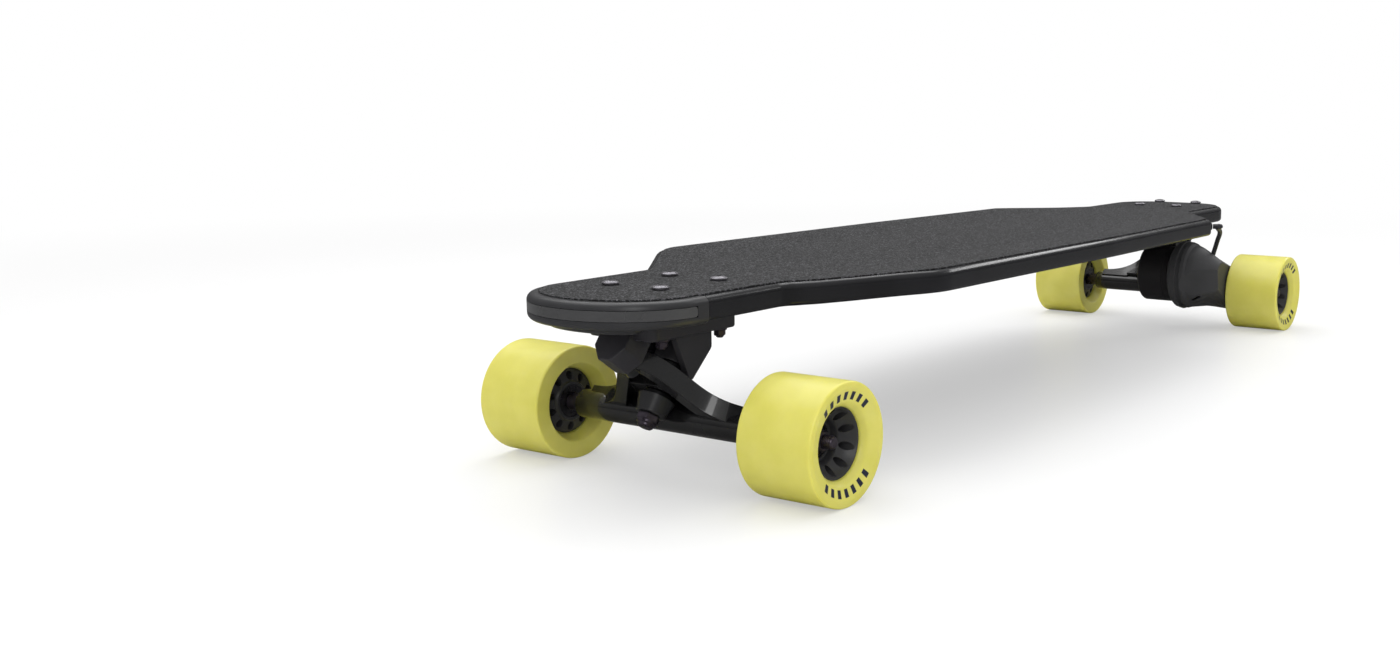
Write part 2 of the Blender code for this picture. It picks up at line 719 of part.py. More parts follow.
def kingpin_stack(end, steer, looks):
    along = (0, math.pi / 2, 0)
    nut_top = -RING_THICKNESS / 2 - GAP - ROAD_BUSHING - GAP - WASHER_THICKNESS - GAP
    head = [(0, KINGPIN_HEAD_HIGH), (KINGPIN_HEAD_RADIUS, KINGPIN_HEAD_HIGH)]
    head += [(KINGPIN_HEAD_RADIUS, KINGPIN_HEAD_LOW), (KINGPIN_RADIUS, KINGPIN_HEAD_LOW)]
    shank = [(KINGPIN_RADIUS, nut_top - 0.0080), (0, nut_top - 0.0080)]
    piece(f"kingpin_{end}", turned(head + shank, MEDIUM), looks["steel"], parent=steer)
    bore = KINGPIN_RADIUS + GAP
    hexed = (bore + GAP) / math.cos(math.pi / 6)
    nut = sleeve(hexed, KINGPIN_NUT_RADIUS, nut_top - KINGPIN_NUT_HEIGHT, nut_top, 6)
    piece(f"kingpin_nut_{end}", nut, looks["steel"], parent=steer)
    low = RING_THICKNESS / 2 + GAP
    radius = BUSHING_RADIUS
    board = [(bore, low), (radius * 0.92, low), (radius, low + BOARD_BUSHING * 0.4)]
    board += [(radius, low + BOARD_BUSHING), (bore, low + BOARD_BUSHING)]
    piece(f"bushing_board_{end}", turned(board, MEDIUM, True), looks["bushing"], parent=steer)
    road = [(bore, -low - ROAD_BUSHING), (0.0082, -low - ROAD_BUSHING), (0.0088, -low)]
    road += [(bore, -low)]
    piece(f"bushing_road_{end}", turned(road, MEDIUM, True), looks["bushing"], parent=steer)
    floor = -low - ROAD_BUSHING - GAP
    cup = [(bore, floor - WASHER_THICKNESS), (0.0096, floor - WASHER_THICKNESS)]
    cup += [(0.0122, -0.0072), (0.0105, -0.0068)]
    cup += [(0.0092, -0.0076), (0.0090, floor), (bore, floor)]
    piece(f"cup_washer_{end}", turned(cup, MEDIUM, True), looks["cast"], parent=steer)
    inner, outer = PIVOT_RADIUS + GAP, PIVOT_RADIUS + PIVOT_CUP_WALL + GAP
    start, close = BLOCK_START + GAP, PIVOT_REACH + 0.0026
    cup = [(inner, start), (outer, start), (outer, close), (0, close), (0, PIVOT_REACH + GAP)]
    cup += [(inner, PIVOT_REACH + GAP)]
    cup_shape = turned(cup, MEDIUM, True)
    piece(f"pivot_cup_{end}", cup_shape, looks["bushing"], turn=along, parent=steer)


def hanger(end, steer, looks):
    """A flat ring and web between two deep arms, which spread from the pivot to the axle tube."""
    half = RING_THICKNESS / 2
    inner_end = (FORK_REACH - AXLE_S) * ARM_SLOPE
    outer_end = inner_end + ARM_WIDTH
    outer_apex = (FORK_REACH - APEX_REACH) * ARM_SLOPE + ARM_WIDTH
    web_half = (FORK_REACH - WEB_START) * ARM_SLOPE + 0.001
    web_end = AXLE_S + 0.0013
    left = [(WEB_START, web_half), (web_end, inner_end + 0.001)]
    web = left + [(s, -y) for s, y in left[::-1]]
    web = piece(f"hanger_{end}", prism(web, -half, half), looks["gloss"], parent=steer)
    arm_end = AXLE_S + 0.0030
    cut(web, tool(f"{end}_ring_bore", rod(RING_BORE, -0.01, 0.01), parent=steer))
    left = [(APEX_REACH, outer_apex), (arm_end, outer_end), (arm_end, inner_end), (FORK_REACH, 0)]
    arms = left + [(s, -y) for s, y in left[-2::-1]]
    arms = prism(arms, -ARM_DEPTH / 2, ARM_DEPTH / 2)
    tube_half = HANGER_WIDTH / 2
    tube = rod(TUBE_RADIUS, -tube_half, tube_half)
    nose = rod(PIVOT_RADIUS, FORK_REACH - 0.004, PIVOT_REACH, MEDIUM)
    tube_at = (AXLE_S, 0, AXLE_N)
    join(
        web,
        tool(f"{end}_arms", arms, parent=steer),
        tool(f"{end}_tube", tube, tube_at, ON_Y_LEFT, steer),
        tool(f"{end}_pivot_nose", nose, turn=(0, math.pi / 2, 0), parent=steer),
    )
    bore = rod(AXLE_RADIUS + GAP, -0.2, 0.2, MEDIUM)
    relief = rod(BUSHING_RADIUS + CUP_CLEARANCE, -0.040, -half - GAP)
    cut(
        web,
        tool(f"{end}_cup_relief", relief, parent=steer),
        tool(f"{end}_axle_bore", bore, tube_at, ON_Y_LEFT, steer),
    )
    shoulder = TRACK / 2 - BEARING_SPAN / 2 - WHEEL_OFFSET - GAP
    start = tube_half + GAP
    ends = [(AXLE_RADIUS, start), (SPACER_RADIUS, start), (SPACER_RADIUS, shoulder)]
    ends += [(AXLE_RADIUS, shoulder)]
    ends += [(AXLE_RADIUS, AXLE_LENGTH / 2), (0, AXLE_LENGTH / 2)]
    profile = [(radius, -y) for radius, y in ends[::-1]] + ends
    axle = turned(profile, MEDIUM)
    piece(f"axle_{end}", axle, looks["steel"], tube_at, ON_Y_LEFT, steer)
    nut_start = shoulder + GAP + BEARING_SPAN + GAP
    bore = (AXLE_RADIUS + GAP) / math.cos(math.pi / 6)
    for side, name in ((1, "left"), (-1, "right")):
        way = side if end == "front" else -side
        nut = sleeve(bore, AXLE_NUT_RADIUS, nut_start, nut_start + AXLE_NUT_HEIGHT, 6)
        turn = ON_Y_LEFT if way == 1 else ON_Y_RIGHT
        piece(f"axle_nut_{end}_{name}", nut, looks["steel"], tube_at, turn, steer)


# ------------------------------------------------------------------ wheels


def wheel(name, x, side, looks):
    """Tyre, core and bearings, drawn with Z along the axle, away from the board."""
    turn = ON_Y_LEFT if side == 1 else ON_Y_RIGHT
    hub = empty(f"wheel_{name}", (x, side * TRACK / 2, WHEEL_RADIUS), turn)
    edge = WHEEL_WIDTH / 2
    bore = CORE_RADIUS + GAP
    tyre = [(bore, edge - 0.0062), (LIP_RADIUS, edge), (WHEEL_RADIUS - 0.0022, edge)]
    tyre += [(WHEEL_RADIUS - 0.0006, edge - 0.0007), (WHEEL_RADIUS, edge - 0.0026)]
    tyre += [(WHEEL_RADIUS, -edge + 0.0026), (WHEEL_RADIUS - 0.0006, -edge + 0.0007)]
    tyre += [(WHEEL_RADIUS - 0.0022, -edge), (bore + 0.0046, -edge), (bore, -edge + 0.0095)]
    piece(f"tyre_{name}", turned(tyre, FINE, True), looks["tyre"], parent=hub)
    bearing_low = -BEARING_SPAN / 2 - WHEEL_OFFSET
    hub_low, hub_high = bearing_low, bearing_low + BEARING_SPAN + 0.0006
    seat = BEARING_RADIUS + GAP
    core = [(seat, hub_low), (0.0132, hub_low), (CORE_RADIUS - 0.001, -edge + 0.0097)]
    core += [(CORE_RADIUS, -edge + 0.0105), (CORE_RADIUS, edge - 0.0068)]
    core += [(CORE_RADIUS - 0.001, edge - 0.0066), (0.0125, hub_high), (seat, hub_high)]
    core = piece(f"core_{name}", turned(core, 20, True), looks["core"], parent=hub)
    for index in range(CORE_HOLES):
        angle = 2 * math.pi * (index + 0.5) / CORE_HOLES
        hole = rod(0.0022, -0.05, 0.05, 6)
        bmesh.ops.scale(hole, verts=hole.verts, vec=(1.3, 1, 1))
        at = (0.0170 * math.cos(angle), 0.0170 * math.sin(angle), 0)
        cut(core, tool(f"{name}_core_hole_{index}", hole, at, (0, 0, angle), hub))
    low, high = bearing_low, bearing_low + BEARING_SPAN
    bore, neck = AXLE_RADIUS + RUNNING_GAP, 0.0058
    rings = [(bore, low), (BEARING_RADIUS, low), (BEARING_RADIUS, low + BEARING_WIDTH)]
    rings += [(neck, low + BEARING_WIDTH), (neck, high - BEARING_WIDTH)]
    rings += [(BEARING_RADIUS, high - BEARING_WIDTH), (BEARING_RADIUS, high), (bore, high)]
    piece(f"bearings_{name}", turned(rings, MEDIUM, True), looks["steel"], parent=hub)


# ------------------------------------------------------------------ drive


def egg(centre, big, small, y, steps=28):
    """The hull of a circle round the motor axis and one round the axle, at one Y."""
    points = []
    for i in range(steps):
        angle = 2 * math.pi * i / steps
        way = Vector((math.cos(angle), math.sin(angle)))
        from_motor = Vector(centre) + way * big
        from_axle = way * small
        best = from_motor if from_motor.dot(way) > from_axle.dot(way) or not small else from_axle
        points.append((best.x, y, best.y))
    return points


def cover_sections(shrink, low, high):
    """(y, radius round the motor, radius round the axle) down the length of the cover."""
    sections = [
        (MOTOR_LENGTH + 0.0008, MOTOR_RADIUS + 0.0017, 0),
        (MOTOR_LENGTH + 0.0045, MOTOR_RADIUS + 0.0045, 0),
        (MOTOR_LENGTH + 0.0100, MOTOR_RADIUS + 0.0065, 0),
        (CLAMP_LOW - 0.0013, MOTOR_RADIUS + 0.0044, 0),
        (CLAMP_LOW + 0.0013, MOTOR_RADIUS + 0.0026, 0.0186),
        (CLAMP_HIGH, MOTOR_RADIUS, 0.0192),
        (BELT_Y + 0.0018, MOTOR_RADIUS - 0.0060, 0.0200),
        (COVER_END, 0.0150, 0.0205),
    ]
    kept = []
    for y, big, small in sections:
        y = min(max(y, low), high)
        kept.append((y, big - shrink, small - shrink if small else 0))
    return kept


def drive(looks):
    """Motor, mount, belt stage and their cover, on the rear truck's left side."""
    frame = empty("drive", (REAR_X, 0, WHEEL_RADIUS))
    centre = (MOTOR_FORWARD, MOTOR_RISE)
    axis = (MOTOR_FORWARD, 0, MOTOR_RISE)
    radius = MOTOR_RADIUS
    bore = STATOR_BORE
    can = [(0, 0), (radius - 0.003, 0), (radius, 0.003), (radius, MOTOR_LENGTH)]
    can += [(bore, MOTOR_LENGTH), (bore, 0.0040), (0, 0.0040)]
    piece("motor_can", turned(can, 32), looks["motor"], axis, ON_Y_LEFT, frame)
    belt_low, belt_high = BELT_Y - BELT_WIDTH / 2, BELT_Y + BELT_WIDTH / 2
    small, large = (BELT_PITCH * teeth / (2 * math.pi) for teeth in (MOTOR_TEETH, WHEEL_TEETH))
    small, large = small - GAP, large - GAP
    shaft = PULLEY_SHAFT
    rotor = [(0, 0.0050), (shaft, 0.0050), (shaft, 0.0065), (bore - 0.0005, 0.0065)]
    rotor += [(bore - 0.0005, MOTOR_LENGTH - 0.004), (shaft, MOTOR_LENGTH - 0.004)]
    flange_low, flange_high = belt_low - 0.0006, belt_high + 0.0006
    rotor += [(shaft, flange_low - 0.001), (small + FLANGE_RISE, flange_low - 0.001)]
    rotor += [(small + FLANGE_RISE, flange_low), (small, flange_low), (small, flange_high)]
    rotor += [(small + FLANGE_RISE, flange_high), (small + FLANGE_RISE, flange_high + 0.001)]
    rotor += [(0, flange_high + 0.001)]
    piece("motor_rotor", turned(rotor, MEDIUM), looks["steel"], axis, ON_Y_LEFT, frame)

    mount_low = MOTOR_LENGTH + GAP
    mount = rod(radius, mount_low, mount_low + MOUNT_THICKNESS, MEDIUM)
    mount = piece("motor_mount", mount, looks["alloy"], axis, ON_Y_LEFT, frame)
    away = math.hypot(MOTOR_FORWARD, MOTOR_RISE)
    lift = -math.atan2(MOTOR_RISE, MOTOR_FORWARD)
    arm_start, arm_low = TUBE_RADIUS + 0.002, 0.0550
    bridge = (away - radius + BRIDGE_MARGIN, away - radius + BRIDGE_MARGIN + BRIDGE_THICKNESS)
    arm = [(bridge[1], mount_low + 0.001), (bridge[1], CLAMP_HIGH), (arm_start, CLAMP_HIGH)]
    arm += [(arm_start, arm_low), (bridge[0], arm_low), (bridge[0], mount_low + 0.001)]
    arm = prism(arm, -0.010, 0.010)
    clamp = rod(TUBE_RADIUS + CLAMP_WALL, CLAMP_LOW, CLAMP_HIGH)
    join(
        mount,
        tool("mount_arm", arm, turn=(0, lift, 0), parent=frame),
        tool("mount_clamp", clamp, turn=ON_Y_LEFT, parent=frame),
    )
    cut(
        mount,
        tool("clamp_bore", rod(TUBE_RADIUS + GAP, 0, 0.1), turn=ON_Y_LEFT, parent=frame),
        tool("shaft_bore", rod(shaft + 0.001, 0, 0.1), axis, ON_Y_LEFT, frame),
    )

    inner = TUBE_RADIUS + SWING_GAP
    sleeve_end = TRACK / 2 - BEARING_SPAN / 2 - WHEEL_OFFSET - GAP
    pulley = [(inner, flange_low - 0.001), (large + 0.0020, flange_low - 0.001)]
    pulley += [(large + 0.0020, flange_low), (large, flange_low), (large, flange_high)]
    pulley += [(large + 0.0020, flange_high), (large + 0.0020, flange_high + 0.001)]
    pulley += [(SLEEVE_RADIUS, flange_high + 0.001), (SLEEVE_RADIUS, sleeve_end), (inner, sleeve_end)]
    pulley = turned(pulley, WHEEL_TEETH, True)
    piece("wheel_pulley", pulley, looks["alloy"], turn=ON_Y_LEFT, parent=frame)

    within = GAP * 2
    inside = egg(centre, small + within, large + within, belt_low, 28)
    outside_sizes = (small + within + BELT_THICKNESS, large + within + BELT_THICKNESS)
    outside = egg(centre, *outside_sizes, belt_low, 28)
    belt = piece("drive_belt", loft([outside, [(x, belt_high, z) for x, _, z in outside]]),
                 looks["rubber"], parent=frame)
    low_loop = [(x, belt_low - 0.01, z) for x, _, z in inside]
    high_loop = [(x, belt_high + 0.01, z) for x, _, z in inside]
    cut(belt, tool("belt_inside", loft([low_loop, high_loop]), parent=frame))

    start = MOTOR_LENGTH + 0.0008
    outer = [egg(centre, big, round_axle, y) for y, big, round_axle in
             cover_sections(0, start, COVER_END)]
    cover = piece("belt_cover", loft(outer), looks["housing"], parent=frame)
    hollow = [egg(centre, big, round_axle, y) for y, big, round_axle in
              cover_sections(SHELL_WALL, start - 0.001, COVER_END - SHELL_WALL)]
    cut(
        cover,
        tool("cover_hollow", loft(hollow), parent=frame),
        tool("sleeve_hole", rod(SLEEVE_RADIUS + SWING_GAP, 0.05, 0.1), turn=ON_Y_LEFT, parent=frame),
        tool("tube_hole", rod(TUBE_RADIUS + 0.004, 0.02, 0.0590), turn=ON_Y_LEFT, parent=frame),
    )


def smooth_route(points, per_span):
    """A curve through the points, read off as closely spaced ones."""
    route = []
    padded = [points[0] * 2 - points[1], *points, points[-1] * 2 - points[-2]]
    for a, b, c, d in zip(padded, padded[1:], padded[2:], padded[3:]):
        for i in range(per_span):
            t = i / per_span
            route.append(
                0.5 * (2 * b + (c - a) * t + (2 * a - 5 * b + 4 * c - d) * t**2
                       + (3 * b - a - 3 * c + d) * t**3)
            )
    return route + [points[-1]]


def motor_cable(deck, looks):
    """The lead from the deck's rear edge down to the motor, and the boss that it leaves by."""
    notch = REAR_X + REAR_NOTCH
    edge_x = notch + REAR_SLANT_LENGTH * 0.70
    edge_y = END_WIDTH / 2 + (DECK_WIDTH * 0.955 / 2 - END_WIDTH / 2) * 0.70
    run = Vector((REAR_SLANT_LENGTH, DECK_WIDTH * 0.955 / 2 - END_WIDTH / 2, 0)).normalized()
    way = Vector((-run.y, run.x, 0))
    root = Vector((edge_x, edge_y, UNDERSIDE + DECK_THICKNESS * 0.52))
    boss = turned([(0, -0.006), (0.0042, -0.006), (0.0036, 0.006), (0, 0.006)], COARSE)
    turn = way.to_track_quat("Z", "Y").to_euler()
    join(deck, tool("cable_boss", boss, root, turn))
    start = root + way * (0.006 + 3 * GAP)
    end = Vector((REAR_X + MOTOR_FORWARD, 0.0640, WHEEL_RADIUS + MOTOR_RISE + CABLE_RISE))
    points = [start, start + way * 0.006]
    points += [start + Vector((-0.018, 0.0050, -0.0035)), start + Vector((-0.040, -0.0035, -0.0130))]
    points += [end + Vector((0.022, 0.014, 0.0110)), end + Vector((0.005, 0.0040, 0.0085)), end]
    curve = bpy.data.curves.new("motor_cable", "CURVE")
    curve.dimensions = "3D"
    curve.bevel_depth = CABLE_RADIUS
    curve.bevel_resolution = 2
    curve.use_fill_caps = True
    spline = curve.splines.new("POLY")
    route = smooth_route(points, 3)
    spline.points.add(len(route) - 1)
    for knot, place in zip(spline.points, route):
        knot.co = (*place, 1)
    curve.materials.append(looks["rubber"])
    made = bpy.data.objects.new("motor_cable", curve)
    bpy.context.scene.collection.objects.link(made)


def build():
    clear_scene()
    looks = {
        "shell": material("moulded_shell", "1C1C1E", 0.35),
        "grip": material("grip_paper", "2E2D2E", 0.95),
        "cap": material("cap_polymer", "303032", 0.45),
        "band": material("light_diffuser", "4A4A4A", 0.35),
        "cast": material("coated_casting", "333135", 0.45),
        "gloss": material("gloss_black_alloy", "0E0E0E", 0.15),
        "steel": material("black_steel", "2A292B", 0.35, 0.6),
        "alloy": material("bare_alloy", "8A8A8C", 0.4, 1.0),
        "bolt": material("bolt_steel", "3A3338", 0.3, 0.7),
        "bushing": material("bushing_urethane", "1A1A1B", 0.5),
        "tyre": material("yellow_urethane", "ECE98F", 0.4),
        "core": material("core_polymer", "2A2A2C", 0.5),
        "motor": material("motor_enamel", "2B2A2C", 0.4),
        "housing": material("housing_polymer", "3A3A3C", 0.5),
        "rubber": material("black_rubber", "1B1B1C", 0.7),
        "battery": material("battery_wrap", "2B4A73", 0.5),
        "button": material("button_polymer", "C8C8CA", 0.4),
    }
    deck = deck_group(looks)
    deck_bolts(looks)
    truck("front", FRONT_X, 0, looks)
    truck("rear", REAR_X, math.pi, looks)
    for end, x in (("front", FRONT_X), ("rear", REAR_X)):
        wheel(f"{end}_left", x, 1, looks)
        wheel(f"{end}_right", x, -1, looks)
    drive(looks)
    motor_cable(deck, looks)


build()
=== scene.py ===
"""Electric longboard: the finished surfaces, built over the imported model.

Lengths are in metres, +X points to the nose, +Y to the rider's left and +Z up. Each section is one
piece or one group of like pieces, in the order in which the board is put together.
"""

import json
import math

import bpy
from mathutils import Matrix, Vector


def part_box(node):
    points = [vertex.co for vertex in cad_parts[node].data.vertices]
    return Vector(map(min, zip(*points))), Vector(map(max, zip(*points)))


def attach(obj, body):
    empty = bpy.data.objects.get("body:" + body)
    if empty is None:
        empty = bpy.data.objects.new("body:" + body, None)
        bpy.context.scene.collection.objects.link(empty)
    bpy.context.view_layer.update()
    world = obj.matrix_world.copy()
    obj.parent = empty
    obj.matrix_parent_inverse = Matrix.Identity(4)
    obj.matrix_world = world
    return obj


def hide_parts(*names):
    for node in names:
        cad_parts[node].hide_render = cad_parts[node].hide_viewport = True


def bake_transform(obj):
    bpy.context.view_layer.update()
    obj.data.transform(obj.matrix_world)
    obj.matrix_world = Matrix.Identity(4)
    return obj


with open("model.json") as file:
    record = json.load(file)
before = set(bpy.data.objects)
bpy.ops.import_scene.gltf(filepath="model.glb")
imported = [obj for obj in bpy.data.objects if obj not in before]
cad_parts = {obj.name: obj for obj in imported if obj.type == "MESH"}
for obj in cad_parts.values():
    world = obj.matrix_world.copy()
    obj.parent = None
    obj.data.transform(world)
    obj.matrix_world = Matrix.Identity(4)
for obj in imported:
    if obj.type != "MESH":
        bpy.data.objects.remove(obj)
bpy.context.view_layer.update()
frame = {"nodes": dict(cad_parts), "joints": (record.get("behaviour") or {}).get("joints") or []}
joints = {joint["name"]: joint for joint in frame["joints"]}


# ---------------------------------------------------------------- camera, light and floor
# A white studio sweep: a pale floor that fades into the backdrop, one broad overhead panel that
# draws the long highlights on the black parts, and a low camera ahead of the nose on the left.

scene = bpy.context.scene
scene.view_settings.view_transform = "Standard"

camera_place = Vector((1.0518, 0.613, 0.240))
turn, dip = math.radians(33.77), math.radians(9.21)
towards = -Vector((math.cos(turn) * math.cos(dip), math.sin(turn) * math.cos(dip), math.sin(dip)))
bpy.ops.object.camera_add(location=camera_place)
camera = bpy.context.object
camera.rotation_mode = "QUATERNION"
camera.rotation_quaternion = towards.to_track_quat("-Z", "Y")
camera.data.lens = 37.29
camera.data.sensor_width = 36.0
camera.data.shift_x = -0.131
camera.data.clip_start = 0.02
scene.camera = camera


def linear(hex_colour):
    """An sRGB hex colour as the linear RGBA that shaders take."""
    parts = [int(hex_colour[i : i + 2], 16) / 255 for i in (0, 2, 4)]
    return (*[c / 12.92 if c <= 0.04045 else ((c + 0.055) / 1.055) ** 2.4 for c in parts], 1.0)


def add_node(tree, kind, settings=None, **links):
    """Adds a node, sets its properties and inputs, and links other nodes' first outputs to it."""
    node = tree.nodes.new("ShaderNode" + kind)
    given = dict(settings or {})
    for key in [key for key in given if hasattr(node, key)]:
        setattr(node, key, given.pop(key))
    ends = [socket for socket in node.inputs if socket.enabled]
    named = {socket.name.replace(" ", "_"): socket for socket in reversed(ends)}
    for key, value in given.items():
        (ends[int(key)] if key.isdigit() else named[key.replace(" ", "_")]).default_value = value
    for key, source in links.items():
        if isinstance(source, bpy.types.Node):
            source = next(socket for socket in source.outputs if socket.enabled)
        tree.links.new(source, ends[int(key[2:])] if key.startswith("in") else named[key])
    return node


def soft_panel(name, place, aim, size, power):
    """A rectangular light that faces a point."""
    bpy.ops.object.light_add(type="AREA", location=place)
    panel = bpy.context.object
    panel.name = name
    panel.data.shape = "RECTANGLE"
    panel.data.size, panel.data.size_y = size
    panel.data.energy = power
    panel.rotation_euler = (Vector(aim) - Vector(place)).to_track_quat("-Z", "Y").to_euler()
    panel.visible_camera = False


soft_panel("top_panel", (-0.1, -0.3, 1.4), (0.0, 0.0, 0.0), (1.9, 0.9), 9)
soft_panel("streak_panel", (-0.50, -1.05, 1.35), (0.1, 0.0, 0.05), (1.6, 0.16), 4)
soft_panel("back_panel", (-2.1, 0.45, 1.35), (0.0, 0.1, 0.1), (1.6, 0.35), 8)
soft_panel("front_panel", (1.5, 0.9, 0.9), (0.2, 0.0, 0.08), (0.5, 0.9), 4)

# The sweep is white where it is looked at. It lights the board evenly, and stays dark in
# reflections, so that only the panels draw highlights on the black parts.
world = bpy.data.worlds.new("studio_white")
scene.world = world
world.use_nodes = True
sky = world.node_tree
rays = add_node(sky, "LightPath")
rise = add_node(sky, "SeparateXYZ", Vector=add_node(sky, "TexCoord").outputs["Generated"])
glow = add_node(sky, "MapRange", {"From Min": 0.0, "From Max": 0.9, "To Min": 0.72, "To Max": 1.15},
                Value=rise.outputs["Z"])
mirrored = add_node(sky, "MapRange", {"From Min": 0.1, "From Max": 0.9, "To Min": 0.10, "To Max": 0.45},
                    Value=rise.outputs["Z"])
lit = add_node(sky, "Mix", Factor=rays.outputs["Is Glossy Ray"], A=glow, B=mirrored)
seen = add_node(sky, "Mix", {"B": 1.0}, Factor=rays.outputs["Is Camera Ray"], A=lit)
sky.nodes["Background"].inputs["Color"].default_value = (1, 1, 1, 1)
sky.links.new(seen.outputs["Result"], sky.nodes["Background"].inputs["Strength"])

bpy.ops.mesh.primitive_plane_add(size=40)
floor = bpy.context.object
floor.name = "studio_floor"
paper = bpy.data.materials.new("white_paper_sweep")
paper.use_nodes = True
cards = paper.node_tree
sheet = cards.nodes["Principled BSDF"]
paths = add_node(cards, "LightPath")
# To glossy rays the paper is painted mid grey instead of white: a painted, dimmer reflection of the floor
# on the board's glossy parts.
painted_reflection_grey = add_node(cards, "Mix", {"data_type": "RGBA", "A": linear("F6F6F6"), "B": linear("6A6A6A")},
                Factor=paths.outputs["Is Glossy Ray"])
cards.links.new(painted_reflection_grey.outputs[2], sheet.inputs["Base Color"])
sheet.inputs["Roughness"].default_value = 0.35
sheet.inputs["Specular IOR Level"].default_value = 0.3
# The paper glows a little where it is looked at, and wholly so far away, where it meets the sky.
reach = add_node(cards, "VectorMath", {"operation": "LENGTH"},
                 in0=add_node(cards, "TexCoord").outputs["Object"]).outputs["Value"]
fade = add_node(cards, "MapRange", {"interpolation_type": "SMOOTHSTEP", "From Min": 0.6, "From Max": 2.2,
                                    "To Min": 0.42, "To Max": 1.0}, Value=reach)
looked = add_node(cards, "Math", {"operation": "MULTIPLY"}, in0=fade,
                  in1=paths.outputs["Is Camera Ray"])
white = add_node(cards, "Emission", {"Strength": 1.0})
lifted = add_node(cards, "MixShader", Fac=looked)
cards.links.new(sheet.outputs[0], lifted.inputs[1])
cards.links.new(white.outputs[0], lifted.inputs[2])
cards.links.new(lifted.outputs[0], cards.nodes["Material Output"].inputs["Surface"])
floor.data.materials.append(paper)


# ---------------------------------------------------------------- deck
# The board is a moulded composite shell, 15 mm thick, with a rounded rim and a satin black skin.
# It is drawn as its outline, raised to the shell's thickness, rimmed, and its rails then lifted.

ENDS = ("front", "rear")
SIDES = (("left", 1), ("right", -1))


def centre_of(node):
    """The middle of a CAD node's box."""
    low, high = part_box(node)
    return (low + high) / 2


axle_x = {end: centre_of(f"axle_{end}").x for end in ENDS}
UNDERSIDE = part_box("deck")[0].z
THICKNESS = 0.0150
TOP = UNDERSIDE + THICKNESS
HALF_WIDE, HALF_NARROW = 0.123, 0.060
# Each end widens from its narrow neck to a shoulder, over this length.
FLARE_LENGTH, HALF_FLARE = 0.098, HALF_WIDE * 0.955
NOTCH_X = axle_x["rear"] + 0.074
NOSE_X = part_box("light_band")[1].x
TAIL_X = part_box("deck")[0].x
NOSE_LENGTH = 0.050
CAP_X = NOSE_X - 0.062
SEAM = 0.0003
RIM = 0.0045


def only(*pieces):
    """Selects these pieces alone, with the first as the active one."""
    bpy.ops.object.select_all(action="DESELECT")
    for piece in pieces:
        piece.select_set(True)
    bpy.context.view_layer.objects.active = pieces[0]


def arcs(corners, step=math.radians(6)):
    """A path through (x, y, radius) corners, the inner ones rounded."""
    path = [corners[0][:2]]
    for before, here, after in zip(corners, corners[1:], corners[2:]):
        corner, radius = Vector(here[:2]), here[2]
        back = (Vector(before[:2]) - corner).normalized()
        ahead = (Vector(after[:2]) - corner).normalized()
        half = back.angle(ahead) / 2
        hub = corner + (back + ahead).normalized() * radius / math.sin(half)
        spoke = corner + back * radius / math.tan(half) - hub
        sweep = math.copysign(math.pi - 2 * half, back.cross(ahead) * -1)
        count = max(2, round(abs(sweep) / step))
        for i in range(count + 1):
            path.append(tuple(hub + Matrix.Rotation(sweep * i / count, 2) @ spoke))
    path.append(corners[-1][:2])
    return path


def left_edge():
    """The left half of the board's outline, from the middle of the tail to the tip of the nose."""
    shoulder = axle_x["front"] - 0.041
    corners = [
        (TAIL_X, 0, 0),
        (TAIL_X, HALF_NARROW, 0.045),
        (NOTCH_X, HALF_NARROW, 0.010),
        (NOTCH_X + FLARE_LENGTH, HALF_FLARE, 0.010),
        ((axle_x["front"] + axle_x["rear"]) / 2, HALF_WIDE, 0.600),
        (shoulder - 0.083, HALF_WIDE, 0.050),
        (shoulder, HALF_NARROW, 0.014),
        (NOSE_X - NOSE_LENGTH, HALF_NARROW, 0),
    ]
    turns = [math.pi / 2 * i / 24 for i in range(25)]
    nose = [(NOSE_X - NOSE_LENGTH * (1 - math.sin(t)), HALF_NARROW * math.cos(t)) for t in turns]
    return arcs(corners)[:-1] + nose[:-1] + [(NOSE_X, 0)]


def moved_in(path, depth):
    """The half outline moved inwards by a distance that may change along the board."""
    whole = [(path[1][0], -path[1][1]), *path, (path[-2][0], -path[-2][1])]
    moved = []
    for before, (x, y), after in zip(whole, path, whole[2:]):
        run = (Vector(after) - Vector(before)).normalized()
        distance = depth(x)
        moved.append((x + run.y * distance, max(y - run.x * distance, 0)))
    return moved


def both_halves(path):
    """Closes a left half over to the right."""
    return path + [(x, -y) for x, y in path[::-1] if y > 1e-6]


def stretch(path, low, high):
    """The part of a half outline between two X values, cut square at both."""
    kept = []
    for before, after in zip(path, path[1:]):
        for x in (low, high):
            if before[0] < x <= after[0]:
                share = (x - before[0]) / (after[0] - before[0])
                kept.append((x, before[1] + (after[1] - before[1]) * share))
        if low < after[0] < high:
            kept.append(after)
    return kept


def blank(name, outline, low, high):
    """A flat blank: an n-gon with its corners moved to the outline, raised from low to high."""
    bpy.ops.mesh.primitive_circle_add(vertices=len(outline), fill_type="NGON")
    piece = bpy.context.object
    piece.name = piece.data.name = name
    for vertex, (x, y) in zip(piece.data.vertices, outline):
        vertex.co = (x, y, low)
    bpy.ops.object.mode_set(mode="EDIT")
    bpy.ops.mesh.select_all(action="SELECT")
    bpy.ops.mesh.extrude_region_move(TRANSFORM_OT_translate={"value": (0, 0, high - low)})
    bpy.ops.mesh.select_all(action="SELECT")
    bpy.ops.mesh.normals_make_consistent(inside=False)
    bpy.ops.object.mode_set(mode="OBJECT")
    return piece


def select_edges(piece, wanted):
    """Leaves the piece in edit mode with the edges selected whose two ends pass the test."""
    only(piece)
    bpy.ops.object.mode_set(mode="EDIT")
    bpy.ops.mesh.select_mode(type="EDGE")
    bpy.ops.mesh.select_all(action="DESELECT")
    bpy.ops.object.mode_set(mode="OBJECT")
    points = [vertex.co for vertex in piece.data.vertices]
    for edge in piece.data.edges:
        edge.select = wanted(*(points[i] for i in edge.vertices))
    bpy.ops.object.mode_set(mode="EDIT")


